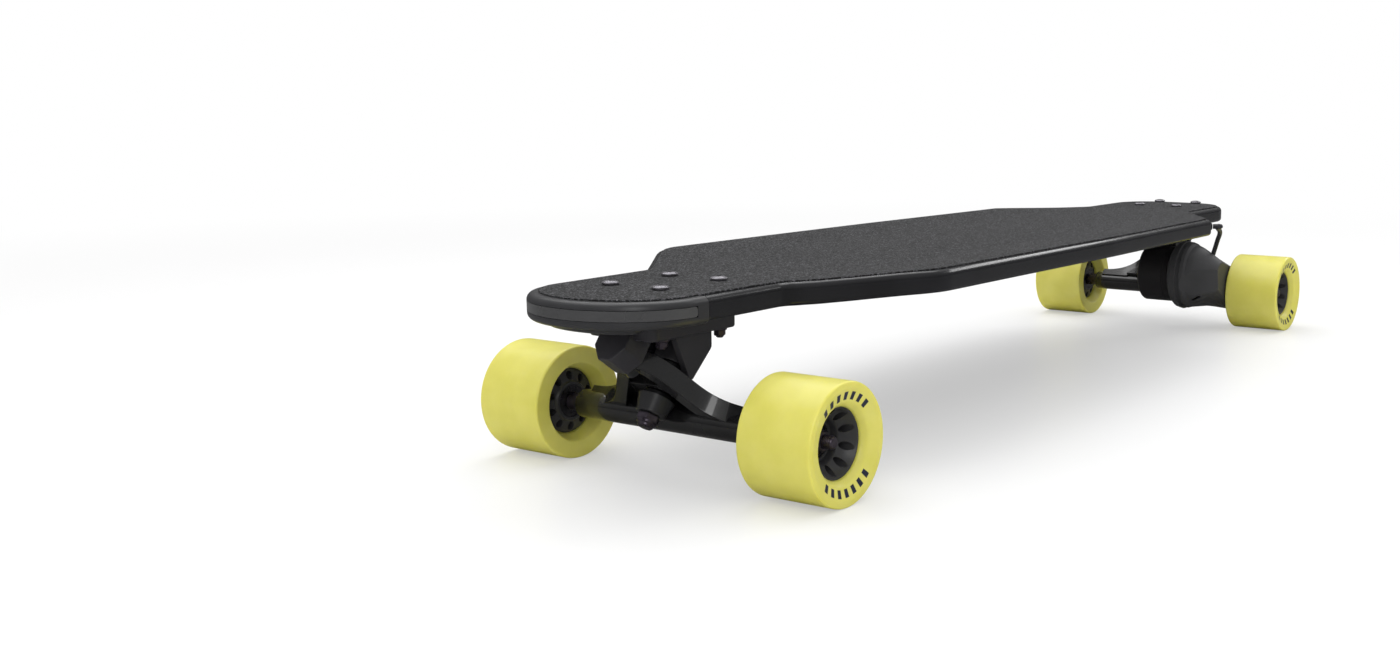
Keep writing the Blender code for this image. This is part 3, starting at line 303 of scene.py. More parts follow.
def round_edges(piece, wanted, radius, segments):
    """Rolls over the edges that pass the test."""
    select_edges(piece, wanted)
    bpy.ops.mesh.bevel(offset=radius, segments=segments, profile=0.5, affect="EDGES")
    bpy.ops.object.mode_set(mode="OBJECT")


def cut_across(piece, places, axis):
    """Adds straight lines of vertices across a piece at the places along one axis."""
    only(piece)
    bpy.ops.object.mode_set(mode="EDIT")
    for place in places:
        point, normal = [0.0, 0.0, 0.0], [0.0, 0.0, 0.0]
        point[axis], normal[axis] = place, 1.0
        bpy.ops.mesh.select_all(action="SELECT")
        bpy.ops.mesh.bisect(plane_co=point, plane_no=normal)
    bpy.ops.mesh.select_all(action="SELECT")
    bpy.ops.mesh.remove_doubles(threshold=0.0003)
    bpy.ops.object.mode_set(mode="OBJECT")


def eased(low, high, value):
    """0 up to the low value, 1 from the high one, and a smooth rise between them."""
    share = min(max((value - low) / (high - low), 0), 1)
    return share * share * (3 - 2 * share)


def lift_rails(piece):
    """Raises both rails above the flat middle, higher at the front than at the rear."""
    for vertex in piece.data.vertices:
        x, y, _ = vertex.co
        height = 0.0020 + 0.0018 * eased(axle_x["rear"], axle_x["front"], x)
        vertex.co.z += height * eased(0.060, HALF_WIDE, abs(y))


rail_lines = [side * y for side in (-1, 1) for y in (0.0605, 0.072, 0.084, 0.094, 0.103, 0.111)]
board_lines = [TAIL_X + 0.030 * i for i in range(1, 31)]


def shade(piece, degrees):
    only(piece)
    bpy.ops.object.shade_smooth_by_angle(angle=math.radians(degrees))
    # Large faces keep their own direction, so that flats stay flat between rounded edges.
    bpy.ops.object.modifier_add(type="WEIGHTED_NORMAL")
    piece.modifiers[-1].keep_sharp = True
    bpy.ops.object.modifier_apply(modifier=piece.modifiers[-1].name)


def dress(piece, finish, crease=35):
    """Shades a finished piece, with a sharp edge wherever it turns by the crease, and coats it."""
    shade(piece, crease)
    piece.data.materials.clear()
    piece.data.materials.append(finish)


def fit(piece, finish, body, slot, *nodes, crease=35):
    """Dresses a finished piece, gives it its body and hides the nodes it stands for. The slot is not used.
    """
    dress(piece, finish, crease)
    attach(piece, body)
    if nodes:
        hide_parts(*nodes)


def base_material(name, colour, roughness, metallic=0.0, ior=1.5):
    """A new material with its shader and the piece's own coordinates."""
    made = bpy.data.materials.new(name)
    made.use_nodes = True
    tree = made.node_tree
    shader = tree.nodes["Principled BSDF"]
    shader.inputs["Base Color"].default_value = linear(colour)
    shader.inputs["Roughness"].default_value = roughness
    shader.inputs["Metallic"].default_value = metallic
    if not metallic:
        shader.inputs["IOR"].default_value = ior
    place = add_node(tree, "TexCoord").outputs["Object"]
    return made, tree, shader, place


def grain(tree, shader, place, millimetres, depth_mm, detail=4.0):
    """A fine all-over relief, as a moulding tool or a casting leaves."""
    noise = add_node(tree, "TexNoise", {"Scale": 1000 / millimetres, "Detail": detail}, Vector=place)
    bump = add_node(tree, "Bump", {"Strength": 1.0, "Distance": depth_mm / 1000},
                    Height=noise.outputs["Fac"])
    tree.links.new(bump.outputs["Normal"], shader.inputs["Normal"])


def vary(tree, shader, place, millimetres, colour_a, colour_b, rough_a, rough_b):
    """Slow drifts of tone and gloss over the surface, from handling and uneven curing."""
    drift = add_node(tree, "TexNoise", {"Scale": 1000 / millimetres, "Detail": 5.0}, Vector=place)
    spread = add_node(tree, "MapRange", {"From Min": 0.35, "From Max": 0.65}, Value=drift)
    tone = add_node(tree, "Mix", {"data_type": "RGBA", "A": linear(colour_a),
                                  "B": linear(colour_b)}, Factor=spread)
    tree.links.new(tone.outputs[2], shader.inputs["Base Color"])
    gloss = add_node(tree, "MapRange", {"To Min": rough_a, "To Max": rough_b}, Value=spread)
    tree.links.new(gloss.outputs["Result"], shader.inputs["Roughness"])
    return tone


def moulded(name, dark, light, roughness, grain_mm=0.5, depth_mm=0.02, ior=1.5):
    """An injection-moulded or coated surface: near-even colour over a fine tool texture."""
    made, tree, shader, place = base_material(name, dark, roughness, ior=ior)
    vary(tree, shader, place, 45, dark, light, roughness * 0.9, min(roughness * 1.12, 1))
    grain(tree, shader, place, grain_mm, depth_mm)
    return made


# Glass-fibre composite with a satin black skin: nearly smooth, so the rim draws one long highlight.
shell = moulded("satin_composite_shell", "161618", "1C1C1F", 0.20, grain_mm=0.6, depth_mm=0.008)

edge = left_edge()
deck = blank("deck_shell", both_halves(stretch(edge, TAIL_X - 1, CAP_X - SEAM)), UNDERSIDE, TOP)


def rim_at(height, cut_x):
    """Picks the edges all round at a height, apart from the square cut where deck and cap meet."""
    return lambda a, b: (
        abs(a.z - height) < 1e-5
        and abs(b.z - height) < 1e-5
        and not (abs(a.x - cut_x) < 1e-5 and abs(b.x - cut_x) < 1e-5)
    )


round_edges(deck, rim_at(TOP, CAP_X - SEAM), RIM, 5)
round_edges(deck, rim_at(UNDERSIDE, CAP_X - SEAM), RIM * 0.7, 4)
cut_across(deck, rail_lines, 1)
cut_across(deck, board_lines, 0)
lift_rails(deck)
fit(deck, shell, "board", "shell", "deck")


# ---------------------------------------------------------------- grip sheet
# Silicon-carbide grit on a self-adhesive paper, cut a little inside the rim and rolled down onto
# the deck, with a flat nose that stops at the cap's lip.

def grip_margin(x):
    """How far inside the board's outline the sheet is cut: a little more where it meets the cap."""
    return 0.0050 + 0.0021 * eased(CAP_X - 0.03, CAP_X, x)


def grit_paper():
    """Coarse black grit: each grain a small brighter or darker facet that stands out of the glue. The
    brighter grains are partly painted glints, colour that stands in for light caught on their facets.
    """
    made, tree, shader, place = base_material("silicon_carbide_grit_paper", "1B1B1C", 0.85)
    # Grit of about 0.4 mm is drawn at 0.9 mm, so that the grains still show from a metre away.
    cells = add_node(tree, "TexVoronoi", {"Scale": 1000 / 0.9}, Vector=place)
    clumps = add_node(tree, "TexNoise", {"Scale": 1000 / 1.8, "Detail": 6.0, "Roughness": 0.7},
                      Vector=place)
    wear = add_node(tree, "TexNoise", {"Scale": 1000 / 90, "Detail": 3.0}, Vector=place)
    grey = add_node(tree, "SeparateColor", Color=cells.outputs["Color"])
    # Painted glints: the brighter grains stand partly for light caught on the grit's facets and partly for
    # its uneven tone.
    glint_and_tone_grains = add_node(tree, "MapRange", {"From Min": 0.60, "From Max": 1.0}, Value=grey)
    mixed = add_node(tree, "Math", {"operation": "MULTIPLY"}, in0=glint_and_tone_grains, in1=clumps)
    tone = add_node(tree, "Mix", {"data_type": "RGBA", "A": linear("101011"),
                                  "B": linear("747478")}, Factor=mixed)
    dusty = add_node(tree, "HueSaturation", {"Value": 1.35}, Color=tone)
    worn = add_node(tree, "Mix", {"data_type": "RGBA"}, Factor=wear, A=tone, B=dusty)
    tree.links.new(worn.outputs[2], shader.inputs["Base Color"])
    height = add_node(tree, "Math", {"operation": "ADD"}, in0=cells, in1=clumps)
    bump = add_node(tree, "Bump", {"Strength": 0.8, "Distance": 0.0003}, Height=height)
    tree.links.new(bump.outputs["Normal"], shader.inputs["Normal"])
    return made


GRIP_LOW, GRIP_HIGH = TOP + 0.0001, TOP + 0.0010
grip = blank("grip_sheet", both_halves(moved_in(edge, grip_margin)), GRIP_LOW, GRIP_HIGH)
round_edges(grip, lambda a, b: min(a.z, b.z) > GRIP_HIGH - 1e-5, 0.0003, 2)
cut_across(grip, rail_lines, 1)
cut_across(grip, board_lines + [NOSE_X - 0.02], 0)
lift_rails(grip)
fit(grip, grit_paper(), "board", "grip", "grip_tape")


# ---------------------------------------------------------------- nose cap
# A moulded bumper pressed over the nose. It has a rounded lip, a thin floor under the nose with a
# shallow oval lens housing, and a groove all round it for the light band.

CAP_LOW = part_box("riser_front")[1].z + SEAM - 0.0015
cap_finish = moulded("moulded_nylon_bumper", "2A2A2C", "323234", 0.36, grain_mm=0.45, depth_mm=0.015)
band_low, band_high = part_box("light_band")[0].z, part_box("light_band")[1].z
band_start = NOSE_X - 0.052


def boolean(piece, other, operation):
    """Cuts a piece with another, or joins them, and removes the other."""
    step = piece.modifiers.new("boolean", "BOOLEAN")
    step.operation, step.object, step.solver = operation, other, "EXACT"
    only(piece)
    bpy.ops.object.modifier_apply(modifier=step.name)
    bpy.data.objects.remove(other, do_unlink=True)


def wall(name, start, margin, low, high, thickness):
    """An upright strip that follows the nose, with its outer face a margin inside the outline."""
    outer = stretch(moved_in(edge, lambda x: margin), start, NOSE_X + 1)
    inner = stretch(moved_in(edge, lambda x: margin + thickness), start, NOSE_X + 1)
    # The ring runs round the outside to the right, and back round the inside to the left.
    ring = outer + [(x, -y) for x, y in outer[::-1][1:]]
    ring += [(x, -y) for x, y in inner] + inner[::-1][1:]
    return blank(name, ring, low, high)


cap = blank("nose_bumper", both_halves(stretch(edge, CAP_X, NOSE_X + 1)), CAP_LOW, TOP)
round_edges(cap, rim_at(TOP, CAP_X), RIM, 6)
round_edges(cap, rim_at(CAP_LOW, CAP_X), RIM, 6)
groove = wall("groove", band_start - SEAM, -0.002, band_low - SEAM, band_high + SEAM, 0.0042)
boolean(cap, groove, "DIFFERENCE")
fit(cap, cap_finish, "board", "cap", "nose_cap")

# The lens housing under the nose: an oval pan with a rolled edge.
pan_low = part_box("nose_cap")[0].z
pan_start = axle_x["front"] + 0.050
bpy.ops.mesh.primitive_cylinder_add(vertices=96, radius=1, depth=1, location=(0, 0, 0))
pan = bpy.context.object
pan.name = pan.data.name = "nose_lens_housing"
pan_reach = NOSE_X - 0.0125 - pan_start
pan.data.transform(Matrix.Diagonal((pan_reach / 2, 0.036, CAP_LOW - pan_low + 0.002, 1)))
pan.data.transform(Matrix.Translation((pan_start + pan_reach / 2, 0, (CAP_LOW + 0.002 + pan_low) / 2)))
round_edges(pan, lambda a, b: max(a.z, b.z) < pan_low + 1e-5, 0.0030, 5)
fit(pan, cap_finish, "board", "cap")


# ---------------------------------------------------------------- light band
# A smoked acrylic diffuser that lies flush in the bumper's groove, with rounded ends. Its inside
# is frosted, so it shows as a paler, even strip.

def smoked_acrylic():
    """Smoke-tinted acrylic with a frosted inside and a polished outer face."""
    made, tree, shader, place = base_material("frosted_smoked_acrylic", "4A4A4B", 0.30, ior=1.49)
    vary(tree, shader, place, 30, "3D3D3E", "444445", 0.27, 0.34)
    grain(tree, shader, place, 0.9, 0.008)
    shader.inputs["Coat Weight"].default_value = 0.4
    shader.inputs["Coat Roughness"].default_value = 0.15
    return made


band = wall("light_diffuser", band_start, 0.0, band_low, band_high, 0.0018)
at_end = band_start + 1e-4
round_edges(band, lambda a, b: a.x < at_end and b.x < at_end and abs(a.z - b.z) < 1e-5, 0.0026, 5)
fit(band, smoked_acrylic(), "board", "band", "light_band")


# ---------------------------------------------------------------- deck bolts
# Black-oxide steel button-head screws, 5 mm, with a hex socket, pulled a little into the grit
# paper. Below the truck's plate each one ends in a flanged lock nut with its thread just proud.

def black_steel(name, dark="232325", light="39393C", roughness=0.34):
    """Oxide-blacked steel: dark metal, with fine turning marks and duller patches of oil."""
    made, tree, shader, place = base_material(name, dark, roughness, metallic=0.85)
    vary(tree, shader, place, 6, dark, light, roughness * 0.85, roughness * 1.3)
    grain(tree, shader, place, 0.35, 0.006)
    return made


bolt_steel = black_steel("black_oxide_screw_steel", "77757A", "8F8D93", 0.30)
nut_steel = black_steel("black_oxide_nut_steel", "4A444D", "625B66", 0.30)


def turned(name, profile, steps=96, ring=False):
    """A round piece about Z: a circle at the first (radius, height), drawn out to each next one."""
    bpy.ops.mesh.primitive_circle_add(vertices=steps, radius=profile[0][0], fill_type="NOTHING")
    piece = bpy.context.object
    piece.name = piece.data.name = name
    bpy.ops.object.mode_set(mode="EDIT")
    bpy.ops.mesh.select_all(action="SELECT")
    bpy.ops.transform.translate(value=(0, 0, profile[0][1]))
    for (radius, height), (wider, higher) in zip(profile, profile[1:]):
        bpy.ops.mesh.extrude_region_move(
            TRANSFORM_OT_translate={"value": (0, 0, higher - height)}
        )
        scale = wider / radius
        bpy.ops.transform.resize(value=(scale, scale, 1), center_override=(0, 0, higher))
    bpy.ops.mesh.select_all(action="DESELECT")
    bpy.ops.mesh.select_non_manifold()
    if ring:
        bpy.ops.mesh.bridge_edge_loops()
    else:
        bpy.ops.mesh.fill_holes(sides=0)
    bpy.ops.mesh.select_all(action="SELECT")
    bpy.ops.mesh.normals_make_consistent(inside=False)
    bpy.ops.object.mode_set(mode="OBJECT")
    return piece


def eased_edges(piece, width, segments=2, angle=35):
    """Breaks every sharp edge of a piece, as tumbling or a mould's radius does."""
    step = piece.modifiers.new("edges", "BEVEL")
    step.width, step.segments, step.limit_method = width, segments, "ANGLE"
    step.angle_limit = math.radians(angle)
    step.use_clamp_overlap = True
    only(piece)
    bpy.ops.object.modifier_apply(modifier=step.name)
    return piece


def joined(name, pieces):
    """Makes one piece of several."""
    only(*pieces)
    bpy.ops.object.join()
    pieces[0].name = pieces[0].data.name = name
    return pieces[0]


def copy_of(piece, name, matrix):
    """A copy with its own mesh, moved to its place."""
    made = piece.copy()
    made.data = piece.data.copy()
    bpy.context.scene.collection.objects.link(made)
    made.name = made.data.name = name
    made.data.transform(matrix)
    return made


def button_head():
    """A domed head with a hex socket, its seat at height 0."""
    dome = [(0.0052, 0.0), (0.0055, 0.0003), (0.0055, 0.0008)]
    for i in range(1, 7):
        angle = math.radians(68) * i / 6
        dome.append((0.0055 * math.cos(angle) + 0.0002, 0.0008 + 0.0018 * math.sin(angle)))
    head = turned("head", dome, 48)
    bpy.ops.mesh.primitive_cylinder_add(vertices=6, radius=0.0018, depth=0.004,
                                        location=(0, 0, 0.0029))
    boolean(head, bpy.context.object, "DIFFERENCE")
    return head


def lock_nut():
    """A flanged hex nut with the screw's end standing out of it, its seat at height 0."""
    flange = turned("flange", [(0.0047, 0.0), (0.0047, -0.0008), (0.0041, -0.0014), (0.0020, -0.0015)], 36)
    nut_body = turned("nut_body", [(0.0040, -0.0012), (0.0040, -0.0044), (0.0033, -0.0049)], 6)
    eased_edges(nut_body, 0.0002)
    thread = turned("thread", [(0.0024, -0.0040), (0.0024, -0.0056), (0.0018, -0.0061)], 24)
    return joined("lock_nut", [flange, nut_body, thread])


PLATE_THICKNESS = 0.0095
HEAD_HEIGHT = 0.0026
head, nut = button_head(), lock_nut()
for end in ENDS:
    for number in (1, 2, 3, 4):
        node = f"deck_bolt_{end}_{number}"
        centre = centre_of(node)
        centre.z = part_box(node)[1].z - HEAD_HEIGHT
        top = copy_of(head, f"screw_head_{end}_{number}", Matrix.Translation(centre))
        fit(top, bolt_steel, "board", "bolt", node)
        centre.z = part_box(f"baseplate_{end}")[1].z - PLATE_THICKNESS - SEAM
        under = copy_of(nut, f"lock_nut_{end}_{number}", Matrix.Translation(centre))
        fit(under, nut_steel, "board", "bolt")
for helper in (head, nut):
    bpy.data.objects.remove(helper, do_unlink=True)


# ---------------------------------------------------------------- riser pads
# Dense black rubber pads between deck and truck, die-cut to the baseplate's outline, with the
# faint pebble of a calendered sheet.

def moulded_rubber(name, dark="121213", light="1B1B1C", roughness=0.62, pebble_mm=0.5):
    """Black rubber or urethane with the faint pebble of its mould or its rolls."""
    made, tree, shader, place = base_material(name, dark, roughness, ior=1.52)
    vary(tree, shader, place, 20, dark, light, roughness * 0.9, roughness * 1.15)
    grain(tree, shader, place, pebble_mm, 0.03)
    return made


rubber = moulded_rubber("calendered_rubber_sheet")
PLATE_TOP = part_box("riser_front")[0].z - SEAM
PLATE_LOW = PLATE_TOP - PLATE_THICKNESS


def truck_frame(end):
    """A truck's upright frame: X runs outboard from its axle."""
    return Matrix.Translation((axle_x[end], 0, 0)) @ Matrix.Rotation(
        0 if end == "front" else math.pi, 4, "Z"
    )


def steering_frame(end):
    """A truck's steering frame: X lies on the steering axis, and Z on the kingpin."""
    x = Vector(joints[f"{end}_steer"]["axis"]).normalized()
    y = Vector((0, math.copysign(1, x.x), 0))
    turned_frame = Matrix((x, y, x.cross(y))).transposed().to_4x4()
    return Matrix.Translation(joints[f"{end}_steer"]["pos_m"]) @ turned_frame


def placed(piece, matrix):
    """Moves a piece's mesh to its place."""
    piece.data.transform(matrix)
    return piece


plate_outline = arcs(
    [(0.006, -0.028, 0), (0.0455, -0.028, 0.006), (0.0455, 0.028, 0.006), (-0.0335, 0.028, 0.006),
     (-0.0335, -0.028, 0.006), (0.006, -0.028, 0)], math.radians(11)
)[:-1]

for end in ENDS:
    pad = blank(f"riser_pad_{end}", plate_outline, PLATE_TOP + SEAM, UNDERSIDE - SEAM)
    eased_edges(pad, 0.0005)
    fit(placed(pad, truck_frame(end)), rubber, "board", "riser", f"riser_{end}")


# ---------------------------------------------------------------- baseplates
# Each truck bolts on by a pressure-cast aluminium plate, coated satin black. It carries a faceted
# pivot block outboard, two cheeks that shroud the bushings, and the seat of the board bushing.

cast_black = moulded("satin_powder_coated_casting", "2D2C30", "37363A", 0.40, 0.7, 0.03)


def recalculated(piece):
    """Turns every face outwards."""
    only(piece)
    bpy.ops.object.mode_set(mode="EDIT")
    bpy.ops.mesh.select_all(action="SELECT")
    bpy.ops.mesh.remove_doubles(threshold=1e-6)
    bpy.ops.mesh.normals_make_consistent(inside=False)
    bpy.ops.object.mode_set(mode="OBJECT")
    return piece


def at_heights(outline, low, high, frame_matrix):
    """A blank drawn in X and Z, with its thickness along Y."""
    piece = blank("side_blank", outline, low, high)
    stand_up = Matrix(((1, 0, 0, 0), (0, 0, 1, 0), (0, 1, 0, 0), (0, 0, 0, 1)))
    piece.data.transform(stand_up)
    return recalculated(placed(piece, frame_matrix))


def sliced(piece, point, normal):
    """Cuts away what lies beyond a plane, and closes the cut."""
    only(piece)
    bpy.ops.object.mode_set(mode="EDIT")
    bpy.ops.mesh.select_all(action="SELECT")
    bpy.ops.mesh.bisect(plane_co=point, plane_no=normal, use_fill=True, clear_outer=True)
    bpy.ops.object.mode_set(mode="OBJECT")
    return piece


ALONG_X = Matrix.Rotation(math.pi / 2, 4, "Y")
CHEEK_INSIDE, CHEEK_OUTSIDE = 0.0144, 0.0192
RIB_INSIDE, RIB_OUTSIDE, RIB_REACH = 0.009, 0.0115, 0.030
BUSHING_SEAT = 0.0163

for end in ENDS:
    base, steer = truck_frame(end), steering_frame(end)
    plate = blank("plate", plate_outline, PLATE_LOW, PLATE_TOP)
    round_edges(plate, lambda a, b: max(a.z, b.z) < PLATE_LOW + 1e-5, 0.0016, 3)
    eased_edges(plate, 0.0004)
    placed(plate, base)

    section = [(-0.0125, 0.020), (-0.0125, 0.001), (-0.005, -0.008)]
    section += [(0.005, -0.008), (0.0125, 0.001), (0.0125, 0.020)]
    block = blank("block", section, 0.0365, 0.0555)
    block.data.transform(Matrix(((0, 0, 1, 0), (1, 0, 0, 0), (0, 1, 0, 0), (0, 0, 0, 1))))
    recalculated(block)
    cup_bore = turned("cup_bore", [(0.0066, 0.030), (0.0066, 0.0500)], 48)
    boolean(block, placed(cup_bore, ALONG_X), "DIFFERENCE")
    eased_edges(block, 0.0009, 3)
    sliced(placed(block, steer), (0, 0, PLATE_TOP - 0.001), (0, 0, 1))

    side = arcs([(0.0, PLATE_LOW + 0.002, 0), (-0.0175, PLATE_LOW + 0.002, 0.0005),
                 (-0.0175, 0.0825, 0.004), (0.0012, 0.0646, 0.0012), (0.0046, 0.0650, 0.0012),
                 (0.0180, PLATE_LOW + 0.002, 0.0005), (0.0, PLATE_LOW + 0.002, 0)],
                math.radians(15))[:-1]
    cheeks = []
    for way in (-1, 1):
        near, far = sorted((way * CHEEK_INSIDE, way * CHEEK_OUTSIDE))
        cheek = at_heights(side, near, far, base)
        cheeks.append(eased_edges(cheek, 0.0008, 3, 25))
    seat = turned("seat", [(0.0122, BUSHING_SEAT), (0.0128, 0.0180), (0.0136, 0.0420)], 64)
    bore = turned("kingpin_bore", [(0.0043, 0.010), (0.0043, 0.060)], 48)
    boolean(seat, bore, "DIFFERENCE")
    sliced(placed(seat, steer), (0, 0, PLATE_TOP - 0.001), (0, 0, 1))
    for way in (-1, 1):
        # A rib stands between the seat and each edge of the plate, where the casting fills out.
        near, far = way * RIB_INSIDE, way * RIB_OUTSIDE
        outline = [(-RIB_REACH, near), (RIB_REACH, near), (RIB_REACH, far), (-RIB_REACH, far)]
        rib = blank("rib", outline[::way], PLATE_LOW - 0.0035, PLATE_LOW + 0.002)
        cheeks.append(placed(eased_edges(rib, 0.0006), base))
    whole = joined(f"truck_baseplate_{end}", [plate, block, seat, *cheeks])
    fit(whole, cast_black, "board", "casting", f"baseplate_{end}")


# ---------------------------------------------------------------- kingpins and bushings
# A steel kingpin clamps two urethane bushings round the hanger. A deep cup washer closes the
# road side, under a lock nut, and the pin's rounded end stands out of it.

cast_urethane = moulded_rubber("black_cast_urethane", "101011", "19191A", 0.38, 1.5)


def seated(bushing, node):
    """A bushing, held at one end by the board and leaning with the hanger at the other: here it is dressed
    and its place baked into its mesh, but it is not made to lean.
    """
    dress(bushing, cast_urethane)
    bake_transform(bushing)
    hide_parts(node)


cup_finish = moulded("black_coated_pressed_cup", "202022", "2A2A2C", 0.33, 0.8, 0.012)

for end in ENDS:
    steer = steering_frame(end)
    pin = turned("pin", [(0.0036, -0.0268), (0.0040, -0.0262), (0.0040, 0.0458), (0.0078, 0.0458),
                         (0.0078, 0.0500), (0.0070, 0.0503)], 48)
    pin_end = turned("pin_end", [(0.0052, -0.0200), (0.0055, -0.0226), (0.0052, -0.0262),
                                 (0.0044, -0.0270), (0.0034, -0.0272)], 48)
    pin = joined(f"kingpin_bolt_{end}", [pin, pin_end])
    fit(placed(pin, steer), nut_steel, "board", "steel", f"kingpin_{end}")
    hexagon = turned("hexagon", [(0.0068, -0.0186), (0.0075, -0.0190), (0.0075, -0.0225),
                                 (0.0068, -0.0230)], 6)
    collar = turned("collar", [(0.0064, -0.0224), (0.0064, -0.0242), (0.0056, -0.0250)], 48)
    lock = joined(f"kingpin_lock_nut_{end}", [eased_edges(hexagon, 0.0003), collar])
    fit(placed(lock, steer), nut_steel, "board", "steel", f"kingpin_nut_{end}")
    board = turned(f"board_bushing_{end}",
                   [(0.0043, 0.0038), (0.0108, 0.0038), (0.0114, 0.0044), (0.0122, 0.0090),
                    (0.0122, 0.0154), (0.0116, 0.0160), (0.0043, 0.0160)], 72, True)
    seated(placed(board, steer), f"bushing_board_{end}")
    road = turned(f"road_bushing_{end}",
                  [(0.0043, -0.0150), (0.0082, -0.0150), (0.0088, -0.0090), (0.0088, -0.0044),
                   (0.0084, -0.0038), (0.0043, -0.0038)], 72, True)
    seated(placed(road, steer), f"bushing_road_{end}")
    washer = turned(f"bushing_cup_{end}",
                    [(0.0043, -0.0183), (0.0088, -0.0183), (0.0094, -0.0178), (0.0096, -0.0168),
                     (0.0119, -0.0080), (0.0121, -0.0072), (0.0116, -0.0069), (0.0107, -0.0070),
                     (0.0092, -0.0080), (0.0090, -0.0153), (0.0043, -0.0153)], 96, True)
    fit(placed(washer, steer), cup_finish, "board", "casting", f"cup_washer_{end}")
    socket = turned(f"pivot_socket_{end}",
                    [(0.0045, 0.0372), (0.0061, 0.0368), (0.0061, 0.0486), (0.0045, 0.0480)],
                    48, True)
    fit(placed(socket, steer @ ALONG_X), cast_urethane, "board", "bushing", f"pivot_cup_{end}")


# ---------------------------------------------------------------- hangers
# The hanger is cast aluminium under a deep gloss black coat. Two arms spread from the pivot and
# flare into the axle tube, and a thinner web between them holds the ring for the bushings.

def gloss_black():
    """Gloss powder coat: a black base under a clear coat that flows out nearly level."""
    made, tree, shader, place = base_material("gloss_black_powder_coat", "131314", 0.22)
    shader.inputs["Coat Weight"].default_value = 1.0
    shader.inputs["Coat Roughness"].default_value = 0.05
    vary(tree, shader, place, 25, "111112", "181819", 0.18, 0.28)
    # Orange peel of a few millimetres bends the reflections slightly.
    grain(tree, shader, place, 5.0, 0.04, 1.0)
    return made


hanger_finish = gloss_black()
ON_Y = Matrix.Rotation(-math.pi / 2, 4, "X")
TUBE_HALF = 0.0775
ARM_END = 0.0700
ARM_HALF_DEPTH = 0.0065

for end in ENDS:
    steer = steering_frame(end)
    centre = Vector((axle_x[end], 0, centre_of(f"axle_{end}").z))
    axle_at = steer.inverted() @ centre
    s_axle = axle_at.x
    slope, fork, apex = 0.735, 0.0330, 0.0360
    outer_apex = (fork - apex) * slope + 0.0105
    gusset = s_axle + 0.0066
    outer = arcs([(apex, outer_apex, 0), (gusset, outer_apex + (apex - gusset) * slope, 0.045),
                  (gusset, ARM_END, 0)], math.radians(5))
    inner = s_axle - 0.002
    left = outer + [(inner, ARM_END), (inner, (fork - inner) * slope)]
    vee = left + [(fork, 0.0)] + [(s, -y) for s, y in left[::-1]]
    arms = blank("arms", vee, -ARM_HALF_DEPTH, ARM_HALF_DEPTH)
    cut_across(arms, [0.004 * i - 0.010 for i in range(11)], 0)
    for vertex in arms.data.vertices:
        # The arms stand up beside the bushings, and run down into the axle tube.
        vertex.co.z += 0.0095 * eased(-0.016, 0.030, vertex.co.x) - 0.0055
    eased_edges(arms, 0.0016, 4, 40)
    web_half = (fork - 0.0125) * slope + 0.002
    web_outline = [(0.0125, web_half), (s_axle, (fork - s_axle) * slope + 0.002)]
    web_outline += [(s, -y) for s, y in web_outline[::-1]]
    web = blank("web", web_outline, -0.0035, 0.0035)
    eased_edges(web, 0.0006, 2)
    ring_bore = turned("ring_bore", [(0.0070, -0.01), (0.0066, -0.0030), (0.0066, 0.0030),
                                     (0.0070, 0.01)], 64)
    boolean(web, ring_bore, "DIFFERENCE")
    relief = turned("relief", [(0.0142, -0.040), (0.0142, -0.0038)], 72)
    boolean(arms, relief, "DIFFERENCE")
    tube = turned("tube", [(0.0062, -TUBE_HALF), (0.0090, -TUBE_HALF), (0.0095, -TUBE_HALF + 0.0006),
                           (0.0095, TUBE_HALF - 0.0006), (0.0090, TUBE_HALF),
                           (0.0062, TUBE_HALF)], 96)
    placed(tube, Matrix.Translation(axle_at) @ ON_Y)
    pivot = turned("pivot", [(0.0070, 0.0290), (0.0058, 0.0345), (0.0042, 0.0372),
                             (0.0042, 0.0440), (0.0030, 0.0458)], 64)
    placed(pivot, ALONG_X)
    casting = joined(f"truck_hanger_{end}", [arms, web, tube, pivot])
    fit(placed(casting, steer), hanger_finish, f"{end}_hanger", "gloss", f"hanger_{end}")


# ---------------------------------------------------------------- axles and axle nuts
# An 8 mm steel axle runs through the tube, with a black spacer sleeve out to each wheel. Its
# threaded ends carry lock nuts with a nylon collar.

for end in ENDS:
    centre = Vector((axle_x[end], 0, steering_frame(end).translation.z - 0.020))
    here = Matrix.Translation(centre)
    shoulder = 0.08895
    stem = [(0.0030, 0.1270), (0.0038, 0.1263), (0.0040, 0.1255), (0.0040, shoulder),
            (0.0056, shoulder), (0.0060, shoulder - 0.0004), (0.0060, 0.0780)]
    shaft = turned(f"axle_shaft_{end}",
                   [(r, -h) for r, h in stem] + [(r, h) for r, h in stem[::-1]], 64)
    fit(placed(shaft, here @ ON_Y), nut_steel, f"{end}_hanger", "steel", f"axle_{end}")
    for side, way in SIDES:
        hexagon = turned("hexagon", [(0.0068, 0.1139), (0.0075, 0.1143), (0.0075, 0.1180),
                                     (0.0068, 0.1184)], 6)
        collar = turned("collar", [(0.0062, 0.1180), (0.0062, 0.1192), (0.0054, 0.1199)], 48)
        # The thread that stands out of the nut is drawn as rings, 1.2 mm apart.
        thread = turned("thread", [(0.0041 + 0.0003 * (i % 2), 0.1195 + 0.0006 * i)
                                   for i in range(11)], 32)
        lock = joined(f"axle_lock_nut_{end}_{side}", [eased_edges(hexagon, 0.0003), collar, thread])
        aim = ON_Y if way == 1 else ON_Y.inverted()
        fit(placed(lock, here @ aim), nut_steel, f"{end}_hanger", "steel", f"axle_nut_{end}_{side}")


# ---------------------------------------------------------------- wheels
# Each wheel is soft yellow urethane, cast round a glass-filled nylon core with ten oval windows.
# The outer face falls in a shallow cone from a flat lip, and a stepped lip meets the core.

HALF_WHEEL = 0.0268


